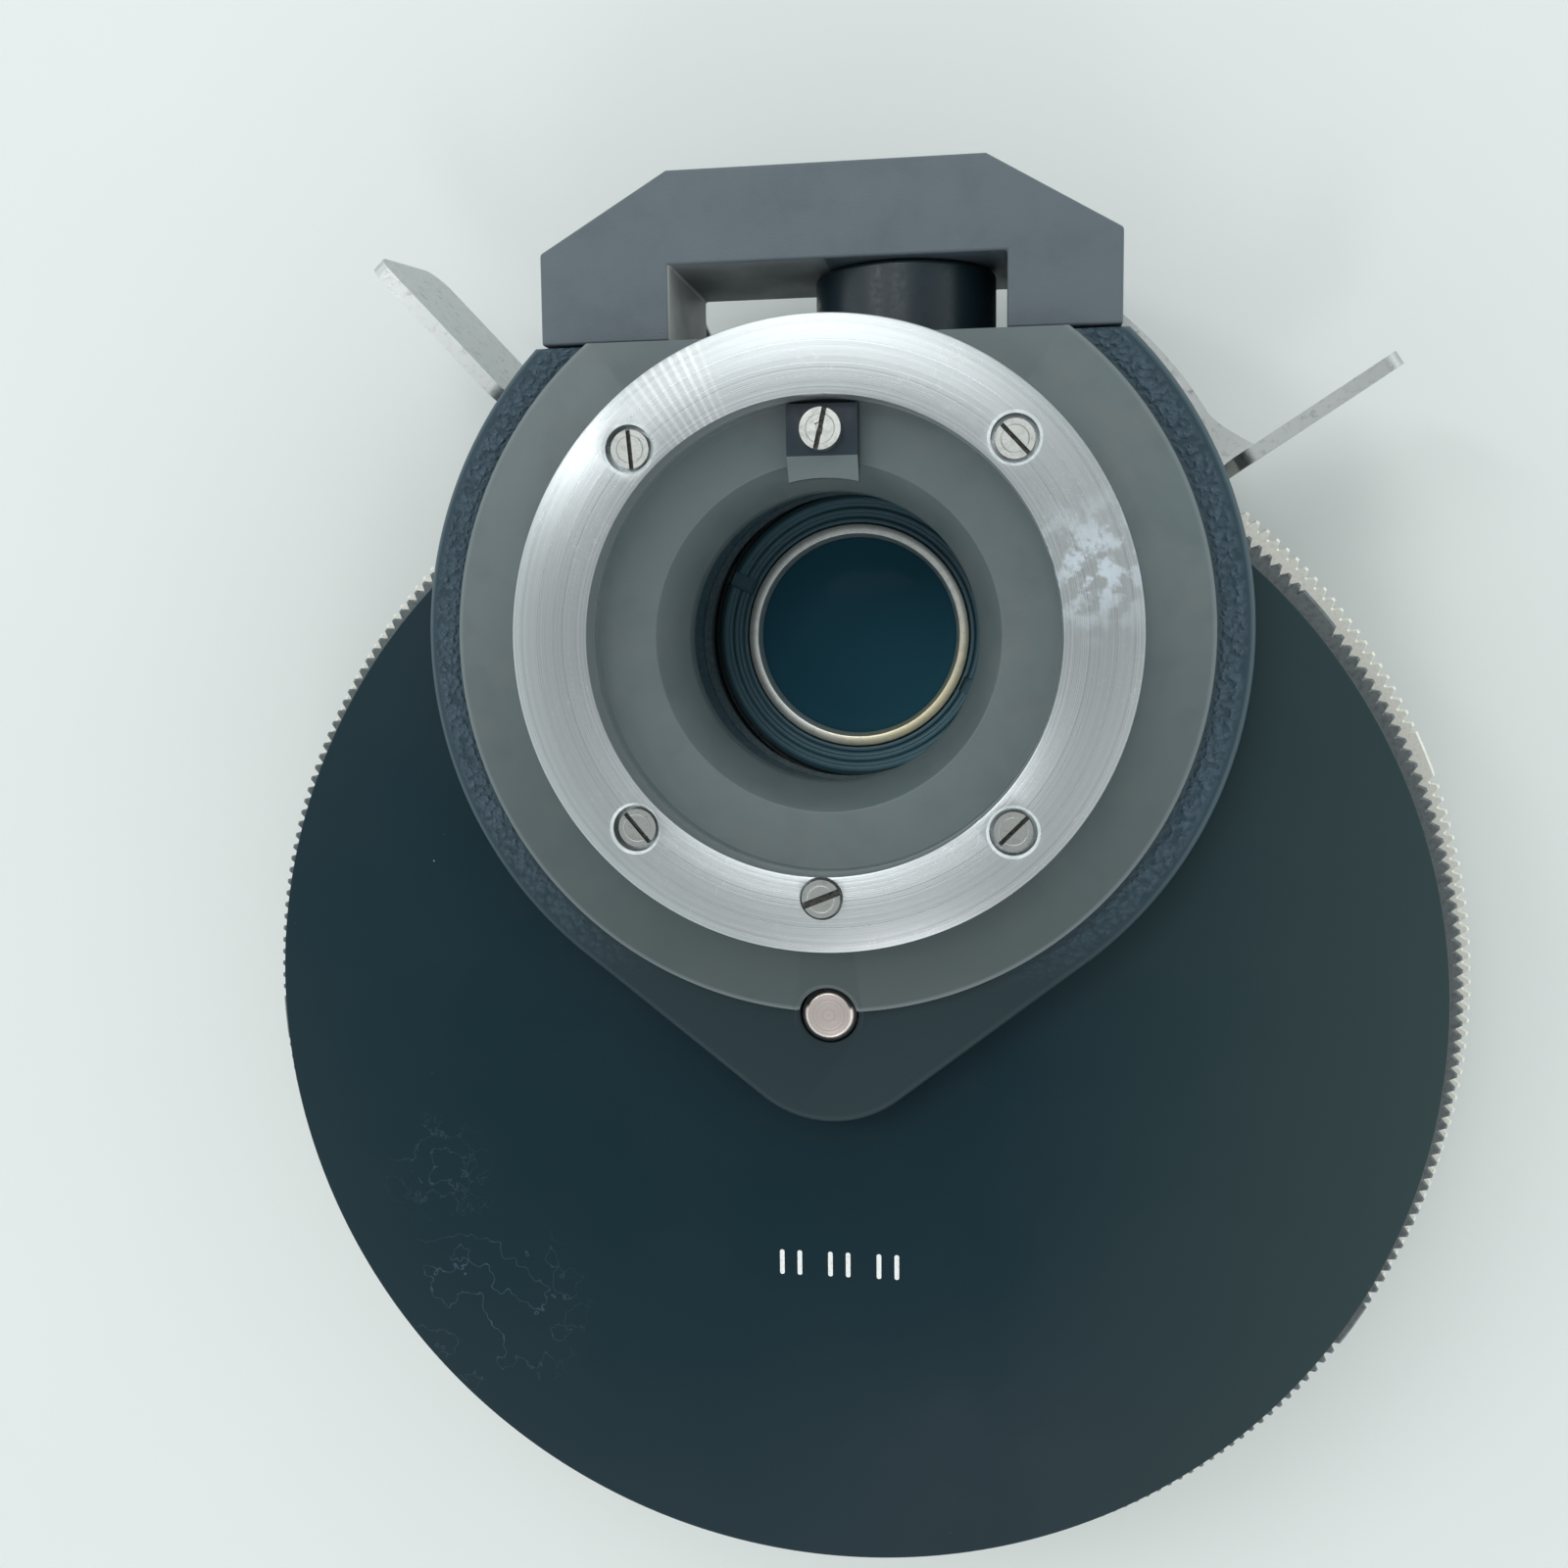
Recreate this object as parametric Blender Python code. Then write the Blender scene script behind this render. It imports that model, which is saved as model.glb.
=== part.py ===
"""Condenser turret unit for a microscope, lying on its back with the change ring facing up.

Two knurled turret wheels turn about one axle between a cover plate and a bottom plate.
The light path runs through the change ring, the collar, the wheels, an iris and a lens.
Millimetres are used for the driving sizes and turned into metres when a mesh is made.
"""
import math

import bmesh
import bpy
from mathutils import Matrix, Vector

MM = 0.001
GAP = 0.3

# Layout: the light path and the turret axle are two vertical axes, one behind the other.
AXLE_OFFSET = 46.4
LOWER_WHEEL_R = 80.4
UPPER_WHEEL_R = 77.2
BRACKET_BACK = 55.9
HEIGHT = 50.0
AXIS_Y = (LOWER_WHEEL_R + AXLE_OFFSET - BRACKET_BACK) / 2
LIGHT = Vector((0.0, AXIS_Y))
TURRET = Vector((0.0, AXIS_Y - AXLE_OFFSET))

# Levels, measured down from the top face of the change ring.
RING_DEPTH = 4.2
COLLAR_TOP = -4.5
COLLAR_EDGE = -5.7
ANNULUS_TOP = -6.2
HOUSING_TOP = -6.0
HOUSING_PLATE_BOTTOM = -11.2
HOUSING_WALL_BOTTOM = -30.7
COVER_TOP = -11.5
COVER_BOTTOM = -16.0
UPPER_WHEEL_TOP = -16.5
UPPER_WHEEL_BOTTOM = -24.7
LOWER_WHEEL_TOP = -25.5
LOWER_WHEEL_BOTTOM = -30.5
PLATE_TOP = -31.0
PLATE_BOTTOM = -34.0
LEVER_TOP = -34.3
LEVER_BOTTOM = -36.1
CEILING_BOTTOM = -36.5
FIRST_BLADE_TOP = -36.8
CAM_TOP = -42.2
CAM_BOTTOM = -44.8
FLOOR_TOP = -45.1
FLOOR_BOTTOM = -47.0
CELL_BOTTOM = -49.4
SEAT_BOTTOM = -13.0
LIP_TOP = -48.6
LENS_SEAT = -44.0
BRACKET_FRONT = -6.8
BRACKET_REAR = -29.5
BRACKET_SCREW_LEVEL = -18.0
POST_LEVEL = -19.0
DRIVE_LEVEL = -43.5
STOP_DEPTH = -1.6
SCREW_SEAT = -2.9
THREAD_END = -9.4
ABOVE = 1.0
BASE = -HEIGHT

# Radii.
RING_R = 37.35
RING_BORE_R = 28.1
RING_SCREW_CIRCLE = 31.9
COLLAR_R = 45.7
COLLAR_HUB_R = 29.7
COLLAR_NECK_R = 21.5
BORE_R = 18.2
BORE_CHAMFER_R = 21.1
HOUSING_R = 50.3
HOUSING_TIP_R = 13.8
HOUSING_FLAT = 35.6
COVER_R = 74.4
WHEEL_CLEARANCE_R = 80.9
POCKET_R = 19.0
POCKETS = 5
AXLE_R = 4.5
PIN_R = 3.4
PIN_CHAMFER = 0.7
PIN_HOLE_R = 3.65
PIN_SINK_R = 4.3
DETENT_CIRCLE = 68.0
BARREL_R = 33.7
BARREL_BORE_R = 31.8
BARREL_FLANGE_R = 37.5
LEVER_RING_R = 40.0
FOOT_INNER_R = 44.0
FOOT_OUTER_R = 52.0
LEVER_ARM_R = 55.5
CELL_R = 20.2
LENS_R = 14.6
PLATE_R = 79.0
PLATE_BORE_R = 20.0
BARREL_SCREW_CIRCLE = 26.0
NUT_R = 5.6
NUT_HEIGHT = 3.6
SCREW_HOLE_R = 1.6
THREAD_R = 1.7
SINK_R = 3.4
DRIVE_PIN_R = 0.7
DRIVE_HOLE_R = 1.1
POST_R = 11.2

# Finger yoke: two flat arms with turned-up fingers. Each finger's middle plane runs in
# one direction, passes beside the light path and may lean away from its arm.
FINGER_THICKNESS = LEVER_TOP - LEVER_BOTTOM
FINGER_TOP = -18.8
FINGER_INNER_R = 53.5
FINGER_FOOT_R = 59.5
RIGHT_FINGER = {"direction": 33.1, "beside": 9.6, "reach": 76.1, "lean": 0.0}
LEFT_FINGER = {"direction": 133.3, "beside": 8.5, "reach": 78.7, "lean": 6.5}
ARM_END_RIGHT = 50.0
ARM_END_LEFT = 115.0

BLADES = 6
BLADE_THICKNESS = 0.6
BLADE_PIVOT_R = 30.3
BLADE_INNER_R = 21.0
BLADE_OUTER_R = 27.0
BLADE_SWEEP = 100.0

# Places measured from the light path's axis.
STOP_SCREW = (0.0, -30.7)
KEY_SCREW = (0.0, 24.5)
KEY_HALF = 4.25
KEY_TOP = -3.7
AXLE_SPOT = (0.0, -AXLE_OFFSET)
WALL_SCREW_X = 35.0
WALL_SCREW_Y = 31.0
WALL_FRONT = 23.0
BRACKET_HALF = 34.8
BRACKET_SHOULDER = 46.8
BRACKET_TOP_HALF = 19.0
BRACKET_SCREW_X = 26.0
WINDOW_LEFT = -18.8
WINDOW_RIGHT = 21.5
WINDOW_TOP = 44.8
POST_X = 8.8

# Foot: a piece of a ring about the turret axis.
FOOT_START = 215.0
FOOT_SWEEP = 110.0
FOOT_SCREWS = (("left", 235.0), ("right", 305.0))
FOOT_SEAT = -40.0

DRILL_TURN = 5.3


def clear_scene():
    for obj in list(bpy.data.objects):
        bpy.data.objects.remove(obj, do_unlink=True)


def material(name, colour, roughness, metallic=0.0):
    """A plain Principled material."""
    made = bpy.data.materials.new(name)
    made.use_nodes = True
    shader = made.node_tree.nodes["Principled BSDF"]
    shader.inputs["Base Color"].default_value = (*colour, 1.0)
    shader.inputs["Roughness"].default_value = roughness
    shader.inputs["Metallic"].default_value = metallic
    made.diffuse_color = (*colour, 1.0)
    return made


def height(level):
    """World height in metres of a level below the top face."""
    return (HEIGHT + level) * MM


def add_object(name, mesh, centre, look):
    """Links a mesh whose origin stands on the given vertical axis."""
    obj = bpy.data.objects.new(name, mesh)
    obj.location = (centre.x * MM, centre.y * MM, 0.0)
    bpy.context.scene.collection.objects.link(obj)
    if look is not None:
        mesh.materials.append(look)
    return obj


def finish_mesh(name, bm):
    """Turns a bmesh into a mesh with outward faces and smooth round sides."""
    bmesh.ops.recalc_face_normals(bm, faces=bm.faces)
    mesh = bpy.data.meshes.new(name)
    bm.to_mesh(mesh)
    bm.free()
    mesh.shade_smooth()
    mesh.set_sharp_from_angle(angle=math.radians(30))
    return mesh


def circle(radius, count, centre=(0.0, 0.0), start=0.0, sweep=360.0):
    """Points on an arc; a full circle leaves out the repeated last point."""
    steps = count if abs(sweep) >= 360.0 else count - 1
    points = []
    for i in range(count):
        angle = math.radians(start + sweep * i / steps)
        x = centre[0] + radius * math.cos(angle)
        y = centre[1] + radius * math.sin(angle)
        points.append((x, y))
    return points


def turned(name, profile, centre, look, segments=48):
    """A closed (radius, level) outline turned about a vertical axis."""
    bm = bmesh.new()
    columns = []
    for i in range(segments):
        angle = 2 * math.pi * i / segments
        column = []
        for radius, level in profile:
            if radius == 0.0 and i > 0:
                column.append(columns[0][len(column)])
                continue
            x = radius * MM * math.cos(angle)
            y = radius * MM * math.sin(angle)
            column.append(bm.verts.new((x, y, height(level))))
        columns.append(column)
    for i in range(segments):
        near = columns[i]
        far = columns[(i + 1) % segments]
        for j in range(len(profile)):
            k = (j + 1) % len(profile)
            corners = []
            for corner in (near[j], far[j], far[k], near[k]):
                if corner not in corners:
                    corners.append(corner)
            if len(corners) > 2:
                bm.faces.new(corners)
    return add_object(name, finish_mesh(name, bm), centre, look)


def lofted(name, layers, centre, look):
    """A solid through outlines with equal point counts, each at its own level."""
    bm = bmesh.new()
    rows = []
    for outline, level in layers:
        rows.append([bm.verts.new((x * MM, y * MM, height(level))) for x, y in outline])
    bm.faces.new(rows[0][::-1])
    bm.faces.new(rows[-1])
    for low, high in zip(rows, rows[1:]):
        for i in range(len(low)):
            k = (i + 1) % len(low)
            bm.faces.new((low[i], low[k], high[k], high[i]))
    return add_object(name, finish_mesh(name, bm), centre, look)


def plate(name, outline, bottom, top, centre, look):
    return lofted(name, [(outline, bottom), (outline, top)], centre, look)


def helper(obj):
    """Keeps a cutter or a union piece out of the model."""
    obj.hide_render = True
    obj.display_type = "WIRE"
    return obj


def boolean(obj, other, operation):
    modifier = obj.modifiers.new(other.name, "BOOLEAN")
    modifier.operation = operation
    modifier.solver = "EXACT"
    modifier.object = helper(other)


def cut(obj, cutter):
    boolean(obj, cutter, "DIFFERENCE")


def join(obj, piece):
    boolean(obj, piece, "UNION")


def drill(obj, name, radius, at, bottom, top, segments=16):
    """A vertical round hole; at is measured from the object's own axis.

    Its corners are turned a little, so that none falls on a corner of the plate.
    """
    outline = circle(radius, segments, at, DRILL_TURN)
    centre = Vector((obj.location.x / MM, obj.location.y / MM))
    cut(obj, plate(name, outline, bottom, top, centre, None))


def rod_along(name, radius, start, end, segments):
    """A rod between two points given in millimetres, with levels as heights."""
    bm = bmesh.new()
    direction = Vector(end) - Vector(start)
    turn = direction.to_track_quat("Z", "Y").to_matrix().to_4x4()
    place = Matrix.Translation((Vector(start) + direction / 2) * MM) @ turn
    bmesh.ops.create_cone(
        bm,
        cap_ends=True,
        segments=segments,
        radius1=radius * MM,
        radius2=radius * MM,
        depth=direction.length * MM,
        matrix=place,
    )
    return finish_mesh(name, bm)


def rod(name, radius, start, end, look, segments=12):
    mesh = rod_along(name, radius, start, end, segments)
    return add_object(name, mesh, Vector((0.0, 0.0)), look)


def sector(inner, outer, start, sweep, count):
    """Plan of a piece of a ring."""
    far = circle(outer, count, start=start, sweep=sweep)
    near = circle(inner, count, start=start + sweep, sweep=-sweep)
    return far + near


def polar(radius, angle):
    turn = math.radians(angle)
    return (radius * math.cos(turn), radius * math.sin(turn))


def slotted_screw(name, centre, head_r, top, head_depth, shank_end, slot_angle, look):
    """A cheese head screw, head up, with a driver slot across its head."""
    shank_r = head_r * 0.53
    profile = [
        (0.0, top),
        (head_r - 0.2, top),
        (head_r, top - 0.2),
        (head_r, top - head_depth),
        (shank_r, top - head_depth),
        (shank_r, shank_end),
        (0.0, shank_end),
    ]
    screw = turned(name, profile, centre, look, 16)
    half = 0.32
    reach = head_r + 1.0
    corners = [(-reach, -half), (reach, -half), (reach, half), (-reach, half)]
    turn = Matrix.Rotation(math.radians(slot_angle), 2)
    outline = [tuple(turn @ Vector(corner)) for corner in corners]
    cut(screw, plate(name + "_slot", outline, top - 0.7, top + 1.0, centre, None))
    return screw


# Change ring, its screws and the locating key.

def make_change_ring(look):
    profile = [
        (RING_BORE_R + 0.3, 0.0),
        (RING_R - 0.4, 0.0),
        (RING_R, -0.4),
        (RING_R, -RING_DEPTH),
        (RING_BORE_R, -RING_DEPTH),
        (RING_BORE_R, -0.3),
    ]
    ring = turned("change_ring", profile[::-1], LIGHT, look, 48)
    for i in range(4):
        at = polar(RING_SCREW_CIRCLE, 45 + 90 * i)
        drill(ring, f"ring_counterbore_{i + 1}", 2.8, at, SCREW_SEAT, ABOVE)
        drill(ring, f"ring_hole_{i + 1}", SCREW_HOLE_R, at, -RING_DEPTH - ABOVE, SCREW_SEAT + ABOVE)
    drill(ring, "stop_counterbore", 2.6, STOP_SCREW, STOP_DEPTH, ABOVE)
    drill(ring, "stop_hole", SCREW_HOLE_R, STOP_SCREW, -RING_DEPTH - ABOVE, STOP_DEPTH + 0.6)
    return ring


def make_ring_screws(look):
    for i, slot in enumerate((-47.0, 95.0, -50.0, 45.0)):
        spot = LIGHT + Vector(polar(RING_SCREW_CIRCLE, 45 + 90 * i))
        slotted_screw(f"ring_screw_{i + 1}", spot, 2.3, -0.9, 1.7, THREAD_END + 0.4, slot, look)
    spot = LIGHT + Vector(STOP_SCREW)
    slotted_screw("stop_screw", spot, 2.3, 0.5, 1.8, -4.0, 22.0, look)


def make_key(block_look, screw_look):
    """The key block sits on the annulus; its nose is bevelled and hollow-ended."""
    half = KEY_HALF
    top, bottom = KEY_TOP, ANNULUS_TOP + GAP
    bm = bmesh.new()
    back, crest, nose = RING_BORE_R - 0.5, 21.5, 18.0
    side = [(back, bottom), (back, top), (crest, top), (nose, top - 1.9), (nose, bottom)]
    left = [bm.verts.new((-half * MM, y * MM, height(z))) for y, z in side]
    right = [bm.verts.new((half * MM, y * MM, height(z))) for y, z in side]
    bm.faces.new(left)
    bm.faces.new(right[::-1])
    for i in range(len(side)):
        k = (i + 1) % len(side)
        bm.faces.new((left[i], right[i], right[k], left[k]))
    block = add_object("key_block", finish_mesh("key_block", bm), LIGHT, block_look)
    drill(block, "key_nose", nose + 1.0, (0.0, 0.0), bottom - ABOVE, 0.0, 48)
    drill(block, "key_hole", THREAD_R, KEY_SCREW, bottom - ABOVE, 0.0)
    spot = LIGHT + Vector(KEY_SCREW)
    slotted_screw("key_screw", spot, 2.45, -2.0, 1.4, THREAD_END + 0.4, 77.0, screw_look)


# Collar, housing and cover.

def make_collar(look):
    profile = [
        (BORE_R, SEAT_BOTTOM),
        (BORE_CHAMFER_R, ANNULUS_TOP),
        (RING_BORE_R, ANNULUS_TOP),
        (RING_BORE_R, COLLAR_TOP),
        (COLLAR_R - 0.3, COLLAR_TOP),
        (COLLAR_R, COLLAR_TOP - 0.3),
        (COLLAR_R, COLLAR_EDGE),
        (COLLAR_HUB_R, COLLAR_EDGE),
        (COLLAR_HUB_R, HOUSING_PLATE_BOTTOM + GAP),
        (COLLAR_NECK_R, HOUSING_PLATE_BOTTOM + GAP),
        (COLLAR_NECK_R, COVER_BOTTOM + 0.1),
        (BORE_R, COVER_BOTTOM + 0.1),
    ]
    collar = turned("collar_plate", profile, LIGHT, look, 44)
    for i in range(4):
        at = polar(RING_SCREW_CIRCLE, 45 + 90 * i)
        drill(collar, f"collar_hole_{i + 1}", SCREW_HOLE_R, at, HOUSING_PLATE_BOTTOM - ABOVE, 0.0)
    drill(collar, "collar_key_hole", THREAD_R, KEY_SCREW, THREAD_END, 0.0)
    drill(collar, "collar_pin_notch", PIN_SINK_R, AXLE_SPOT, COLLAR_EDGE - ABOVE, 0.0, 24)
    past = COLLAR_R + 1.0
    beyond = [(-past, HOUSING_FLAT), (past, HOUSING_FLAT), (past, past), (-past, past)]
    cut(collar, plate("collar_flat", beyond, COLLAR_EDGE - ABOVE, 0.0, LIGHT, None))
    return collar


def teardrop(inset=0.0):
    """Plan of the housing: two circles with common tangents, cut flat at the back."""
    big = HOUSING_R - inset
    small = HOUSING_TIP_R - inset
    flat = HOUSING_FLAT - inset
    lean = math.degrees(math.acos((HOUSING_R - HOUSING_TIP_R) / AXLE_OFFSET))
    corner = math.degrees(math.asin(flat / big))
    right = circle(big, 20, start=lean - 90, sweep=corner - lean + 90)
    left = circle(big, 20, start=180 - corner, sweep=corner - lean + 90)
    tip = circle(small, 16, AXLE_SPOT, 270 - lean, 2 * lean)
    return right + left + tip[1:-1]


def rear_wall():
    """The housing's rear wall in plan, between its rim and the wheel circle."""
    corner = math.degrees(math.asin(HOUSING_FLAT / HOUSING_R))
    foot = math.degrees(math.asin(WALL_FRONT / HOUSING_R))
    right = circle(HOUSING_R, 6, start=foot, sweep=corner - foot)
    left = circle(HOUSING_R, 6, start=180 - corner, sweep=corner - foot)
    end = math.degrees(math.asin((WALL_FRONT + AXLE_OFFSET) / WHEEL_CLEARANCE_R))
    inner = circle(WHEEL_CLEARANCE_R, 24, AXLE_SPOT, 180 - end, 2 * end - 180)
    return right + left + inner


def make_housing(look):
    layers = [
        (teardrop(), HOUSING_PLATE_BOTTOM),
        (teardrop(), HOUSING_TOP - 1.0),
        (teardrop(1.0), HOUSING_TOP),
    ]
    housing = lofted("upper_housing", layers, LIGHT, look)
    overlap = HOUSING_PLATE_BOTTOM + 1.0
    join(housing, plate("rear_wall", rear_wall(), HOUSING_WALL_BOTTOM, overlap, LIGHT, None))
    under = HOUSING_PLATE_BOTTOM - ABOVE
    drill(housing, "collar_seat", COLLAR_HUB_R + GAP, (0.0, 0.0), under, 0.0, 56)
    for i in range(4):
        at = polar(RING_SCREW_CIRCLE, 45 + 90 * i)
        drill(housing, f"housing_thread_{i + 1}", SCREW_HOLE_R, at, THREAD_END, 0.0)
    funnel = [
        (circle(PIN_HOLE_R, 24, AXLE_SPOT), under),
        (circle(PIN_HOLE_R, 24, AXLE_SPOT), HOUSING_TOP - 0.4),
        (circle(PIN_SINK_R, 24, AXLE_SPOT), HOUSING_TOP + 0.2),
    ]
    cut(housing, lofted("pin_hole", funnel, LIGHT, None))
    for side in (-1, 1):
        at = (WALL_SCREW_X * side, WALL_SCREW_Y)
        wall_end = HOUSING_WALL_BOTTOM
        drill(housing, f"wall_hole_{side + 2}", SCREW_HOLE_R, at, wall_end - ABOVE, wall_end + 8.7)
        start = (BRACKET_SCREW_X * side, AXIS_Y + WALL_SCREW_Y + GAP, HEIGHT + BRACKET_SCREW_LEVEL)
        end = (BRACKET_SCREW_X * side, AXIS_Y + HOUSING_FLAT + 4.4, HEIGHT + BRACKET_SCREW_LEVEL)
        cut(housing, rod(f"bracket_thread_{side + 2}", THREAD_R, start, end, None))
    return housing


def make_cover(look):
    profile = [
        (0.0, COVER_BOTTOM),
        (COVER_R, COVER_BOTTOM),
        (COVER_R, COVER_TOP - 0.4),
        (COVER_R - 0.4, COVER_TOP),
        (0.0, COVER_TOP),
    ]
    cover = turned("cover_plate", profile, TURRET, look, 60)
    under, over = COVER_BOTTOM - ABOVE, COVER_TOP + ABOVE
    drill(cover, "cover_bore", COLLAR_NECK_R + 0.5, (0.0, AXLE_OFFSET), under, over, 40)
    drill(cover, "cover_axle_hole", AXLE_R + GAP, (0.0, 0.0), under, over, 24)
    detent = polar(DETENT_CIRCLE, -90)
    drill(cover, "cover_detent_hole", SCREW_HOLE_R, detent, under, COVER_TOP - 0.6)
    return cover


# Turret axle, wheels, inserts and detents.

def make_axle(look, nut_look):
    """The axle is shouldered between housing and bottom plate, with a nut below."""
    nut_top = PLATE_BOTTOM - GAP
    nut_bottom = nut_top - NUT_HEIGHT
    axle_end = nut_bottom - 0.9
    profile = [
        (0.0, axle_end),
        (PIN_R, axle_end),
        (PIN_R, PLATE_TOP + GAP),
        (AXLE_R, PLATE_TOP + GAP),
        (AXLE_R, HOUSING_PLATE_BOTTOM - GAP),
        (PIN_R, HOUSING_PLATE_BOTTOM - GAP),
        (PIN_R, HOUSING_TOP - PIN_CHAMFER),
        (PIN_R - PIN_CHAMFER, HOUSING_TOP),
        (0.0, HOUSING_TOP),
    ]
    turned("turret_axle", profile, TURRET, look, 24)
    nut = plate("axle_nut", circle(NUT_R, 6), nut_bottom, nut_top, TURRET, nut_look)
    drill(nut, "axle_nut_bore", PIN_R + GAP, (0.0, 0.0), nut_bottom - ABOVE, nut_top + ABOVE)


def make_wheel(name, radius, bottom, top, look):
    """A turret wheel with a round pocket for each of its positions."""
    profile = [
        (AXLE_R + GAP, bottom),
        (radius, bottom),
        (radius, top),
        (AXLE_R + GAP, top),
    ]
    wheel = turned(name, profile, TURRET, look, 60)
    for i in range(POCKETS):
        at = polar(AXLE_OFFSET, 90 + 360 / POCKETS * i)
        drill(wheel, f"{name}_pocket_{i + 1}", POCKET_R, at, bottom - ABOVE, top + ABOVE, 28)
    return wheel


def make_inserts(prefix, bottom, top, bore, look):
    """One light stop or filter for each pocket but the open one."""
    for i in range(1, POCKETS):
        spot = TURRET + Vector(polar(AXLE_OFFSET, 90 + 360 / POCKETS * i))
        profile = [
            (bore, bottom + 0.5),
            (POCKET_R - GAP, bottom + 0.5),
            (POCKET_R - GAP, top - 0.5),
            (bore, top - 0.5),
        ]
        turned(f"{prefix}_insert_{i}", profile, spot, look, 24)


def make_detents(ball_look, spring_look):
    """Ball and spring plungers, one from the cover above and one from the plate below."""
    spot = TURRET + Vector(polar(DETENT_CIRCLE, -90))
    ball_r = 1.2
    reach = ball_r + GAP
    centres = (UPPER_WHEEL_TOP + reach, LOWER_WHEEL_BOTTOM - reach)
    for prefix, level, side in zip(("upper", "lower"), centres, (1, -1)):
        bm = bmesh.new()
        place = Matrix.Translation((0.0, 0.0, height(level)))
        bmesh.ops.create_icosphere(bm, subdivisions=2, radius=ball_r * MM, matrix=place)
        add_object(f"{prefix}_detent_ball", finish_mesh("ball", bm), spot, ball_look)
        near = level + side * reach
        far = near + side * 0.5
        low, high = sorted((near, far))
        profile = [(0.6, low), (1.1, low), (1.1, high), (0.6, high)]
        turned(f"{prefix}_detent_spring", profile, spot, spring_look, 12)


# Bottom plate with the iris and the condenser lens below it.

def plate_outline():
    """The bottom plate in plan: the wheel circle and the housing circle merged."""
    meet_y = (PLATE_R**2 - HOUSING_R**2 - AXLE_OFFSET**2) / (2 * AXLE_OFFSET)
    meet = math.degrees(math.asin(meet_y / HOUSING_R))
    corner = math.degrees(math.asin(HOUSING_FLAT / HOUSING_R))
    turn = math.degrees(math.asin((meet_y + AXLE_OFFSET) / PLATE_R))
    right = circle(HOUSING_R, 7, start=meet, sweep=corner - meet)
    left = circle(HOUSING_R, 7, start=180 - corner, sweep=corner - meet)
    front = circle(PLATE_R, 54, AXLE_SPOT, 180 - turn, 180 + 2 * turn)
    return right + left + front[1:-1]


def sunk_hole(obj, name, spot, face, inward, far):
    """A countersunk hole into the plate, running from face to far."""
    layers = [
        (circle(SINK_R, 16, spot, DRILL_TURN), face - inward * ABOVE),
        (circle(SINK_R, 16, spot, DRILL_TURN), face + inward * 0.2),
        (circle(SCREW_HOLE_R, 16, spot, DRILL_TURN), face + inward * 2.0),
        (circle(SCREW_HOLE_R, 16, spot, DRILL_TURN), far + inward * ABOVE),
    ]
    cut(obj, lofted(name, layers[::inward], LIGHT, None))


def sunk_screw(name, spot, face, inward, end, look):
    """A countersunk screw whose head lies just inside the face."""
    head_r, shank_r = SINK_R - 0.6, SCREW_HOLE_R - 0.4
    profile = [
        (0.0, face + inward * 0.2),
        (head_r, face + inward * 0.2),
        (head_r, face + inward * 0.4),
        (shank_r, face + inward * 2.2),
        (shank_r, end),
        (0.0, end),
    ]
    turned(name, profile, LIGHT + Vector(spot), look, 12)


def make_bottom_plate(look, screw_look):
    bottom = plate("bottom_plate", plate_outline(), PLATE_BOTTOM, PLATE_TOP, LIGHT, look)
    under, over = PLATE_BOTTOM - ABOVE, PLATE_TOP + ABOVE
    drill(bottom, "plate_bore", PLATE_BORE_R, (0.0, 0.0), under, over, 40)
    drill(bottom, "plate_axle_hole", PIN_R + GAP, AXLE_SPOT, under, over)
    detent = (0.0, -AXLE_OFFSET - DETENT_CIRCLE)
    drill(bottom, "plate_detent_hole", SCREW_HOLE_R, detent, under, over)
    for name, side in (("left", -1), ("right", 1)):
        spot = (WALL_SCREW_X * side, WALL_SCREW_Y)
        sunk_hole(bottom, f"plate_sink_{name}", spot, PLATE_BOTTOM, 1, PLATE_TOP)
        sunk_screw(f"plate_screw_{name}", spot, PLATE_BOTTOM, 1, -24.0, screw_look)
    for i in range(3):
        spot = polar(BARREL_SCREW_CIRCLE, 90 + 120 * i)
        sunk_hole(bottom, f"barrel_sink_{i + 1}", spot, PLATE_TOP, -1, PLATE_BOTTOM)
        sunk_screw(f"barrel_screw_{i + 1}", spot, PLATE_TOP, -1, -35.8, screw_look)
    return bottom


def make_foot(bottom, look, screw_look):
    """A curved foot under the far half of the plate keeps the unit level on a bench."""
    outline = sector(FOOT_INNER_R, FOOT_OUTER_R, FOOT_START, FOOT_SWEEP, 14)
    foot = plate("foot_rim", outline, BASE, PLATE_BOTTOM - GAP, TURRET, look)
    for name, angle in FOOT_SCREWS:
        at = polar((FOOT_INNER_R + FOOT_OUTER_R) / 2, angle)
        drill(foot, f"foot_sink_{name}", 2.9, at, BASE - ABOVE, FOOT_SEAT)
        drill(foot, f"foot_hole_{name}", SCREW_HOLE_R, at, FOOT_SEAT - ABOVE, PLATE_BOTTOM + ABOVE)
        below = (at[0], at[1] - AXLE_OFFSET)
        drill(bottom, f"foot_thread_{name}", SCREW_HOLE_R, below, PLATE_BOTTOM - ABOVE, PLATE_TOP - 0.6)
        head_top = FOOT_SEAT - GAP
        head_bottom = head_top - 2.3
        shank_end = PLATE_TOP - ABOVE
        head = [
            (0.0, head_bottom),
            (2.4, head_bottom),
            (2.4, head_top),
            (1.25, head_top),
            (1.25, shank_end),
            (0.0, shank_end),
        ]
        spot = TURRET + Vector(at)
        turned(f"foot_screw_{name}", head, spot, screw_look, 12)


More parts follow.
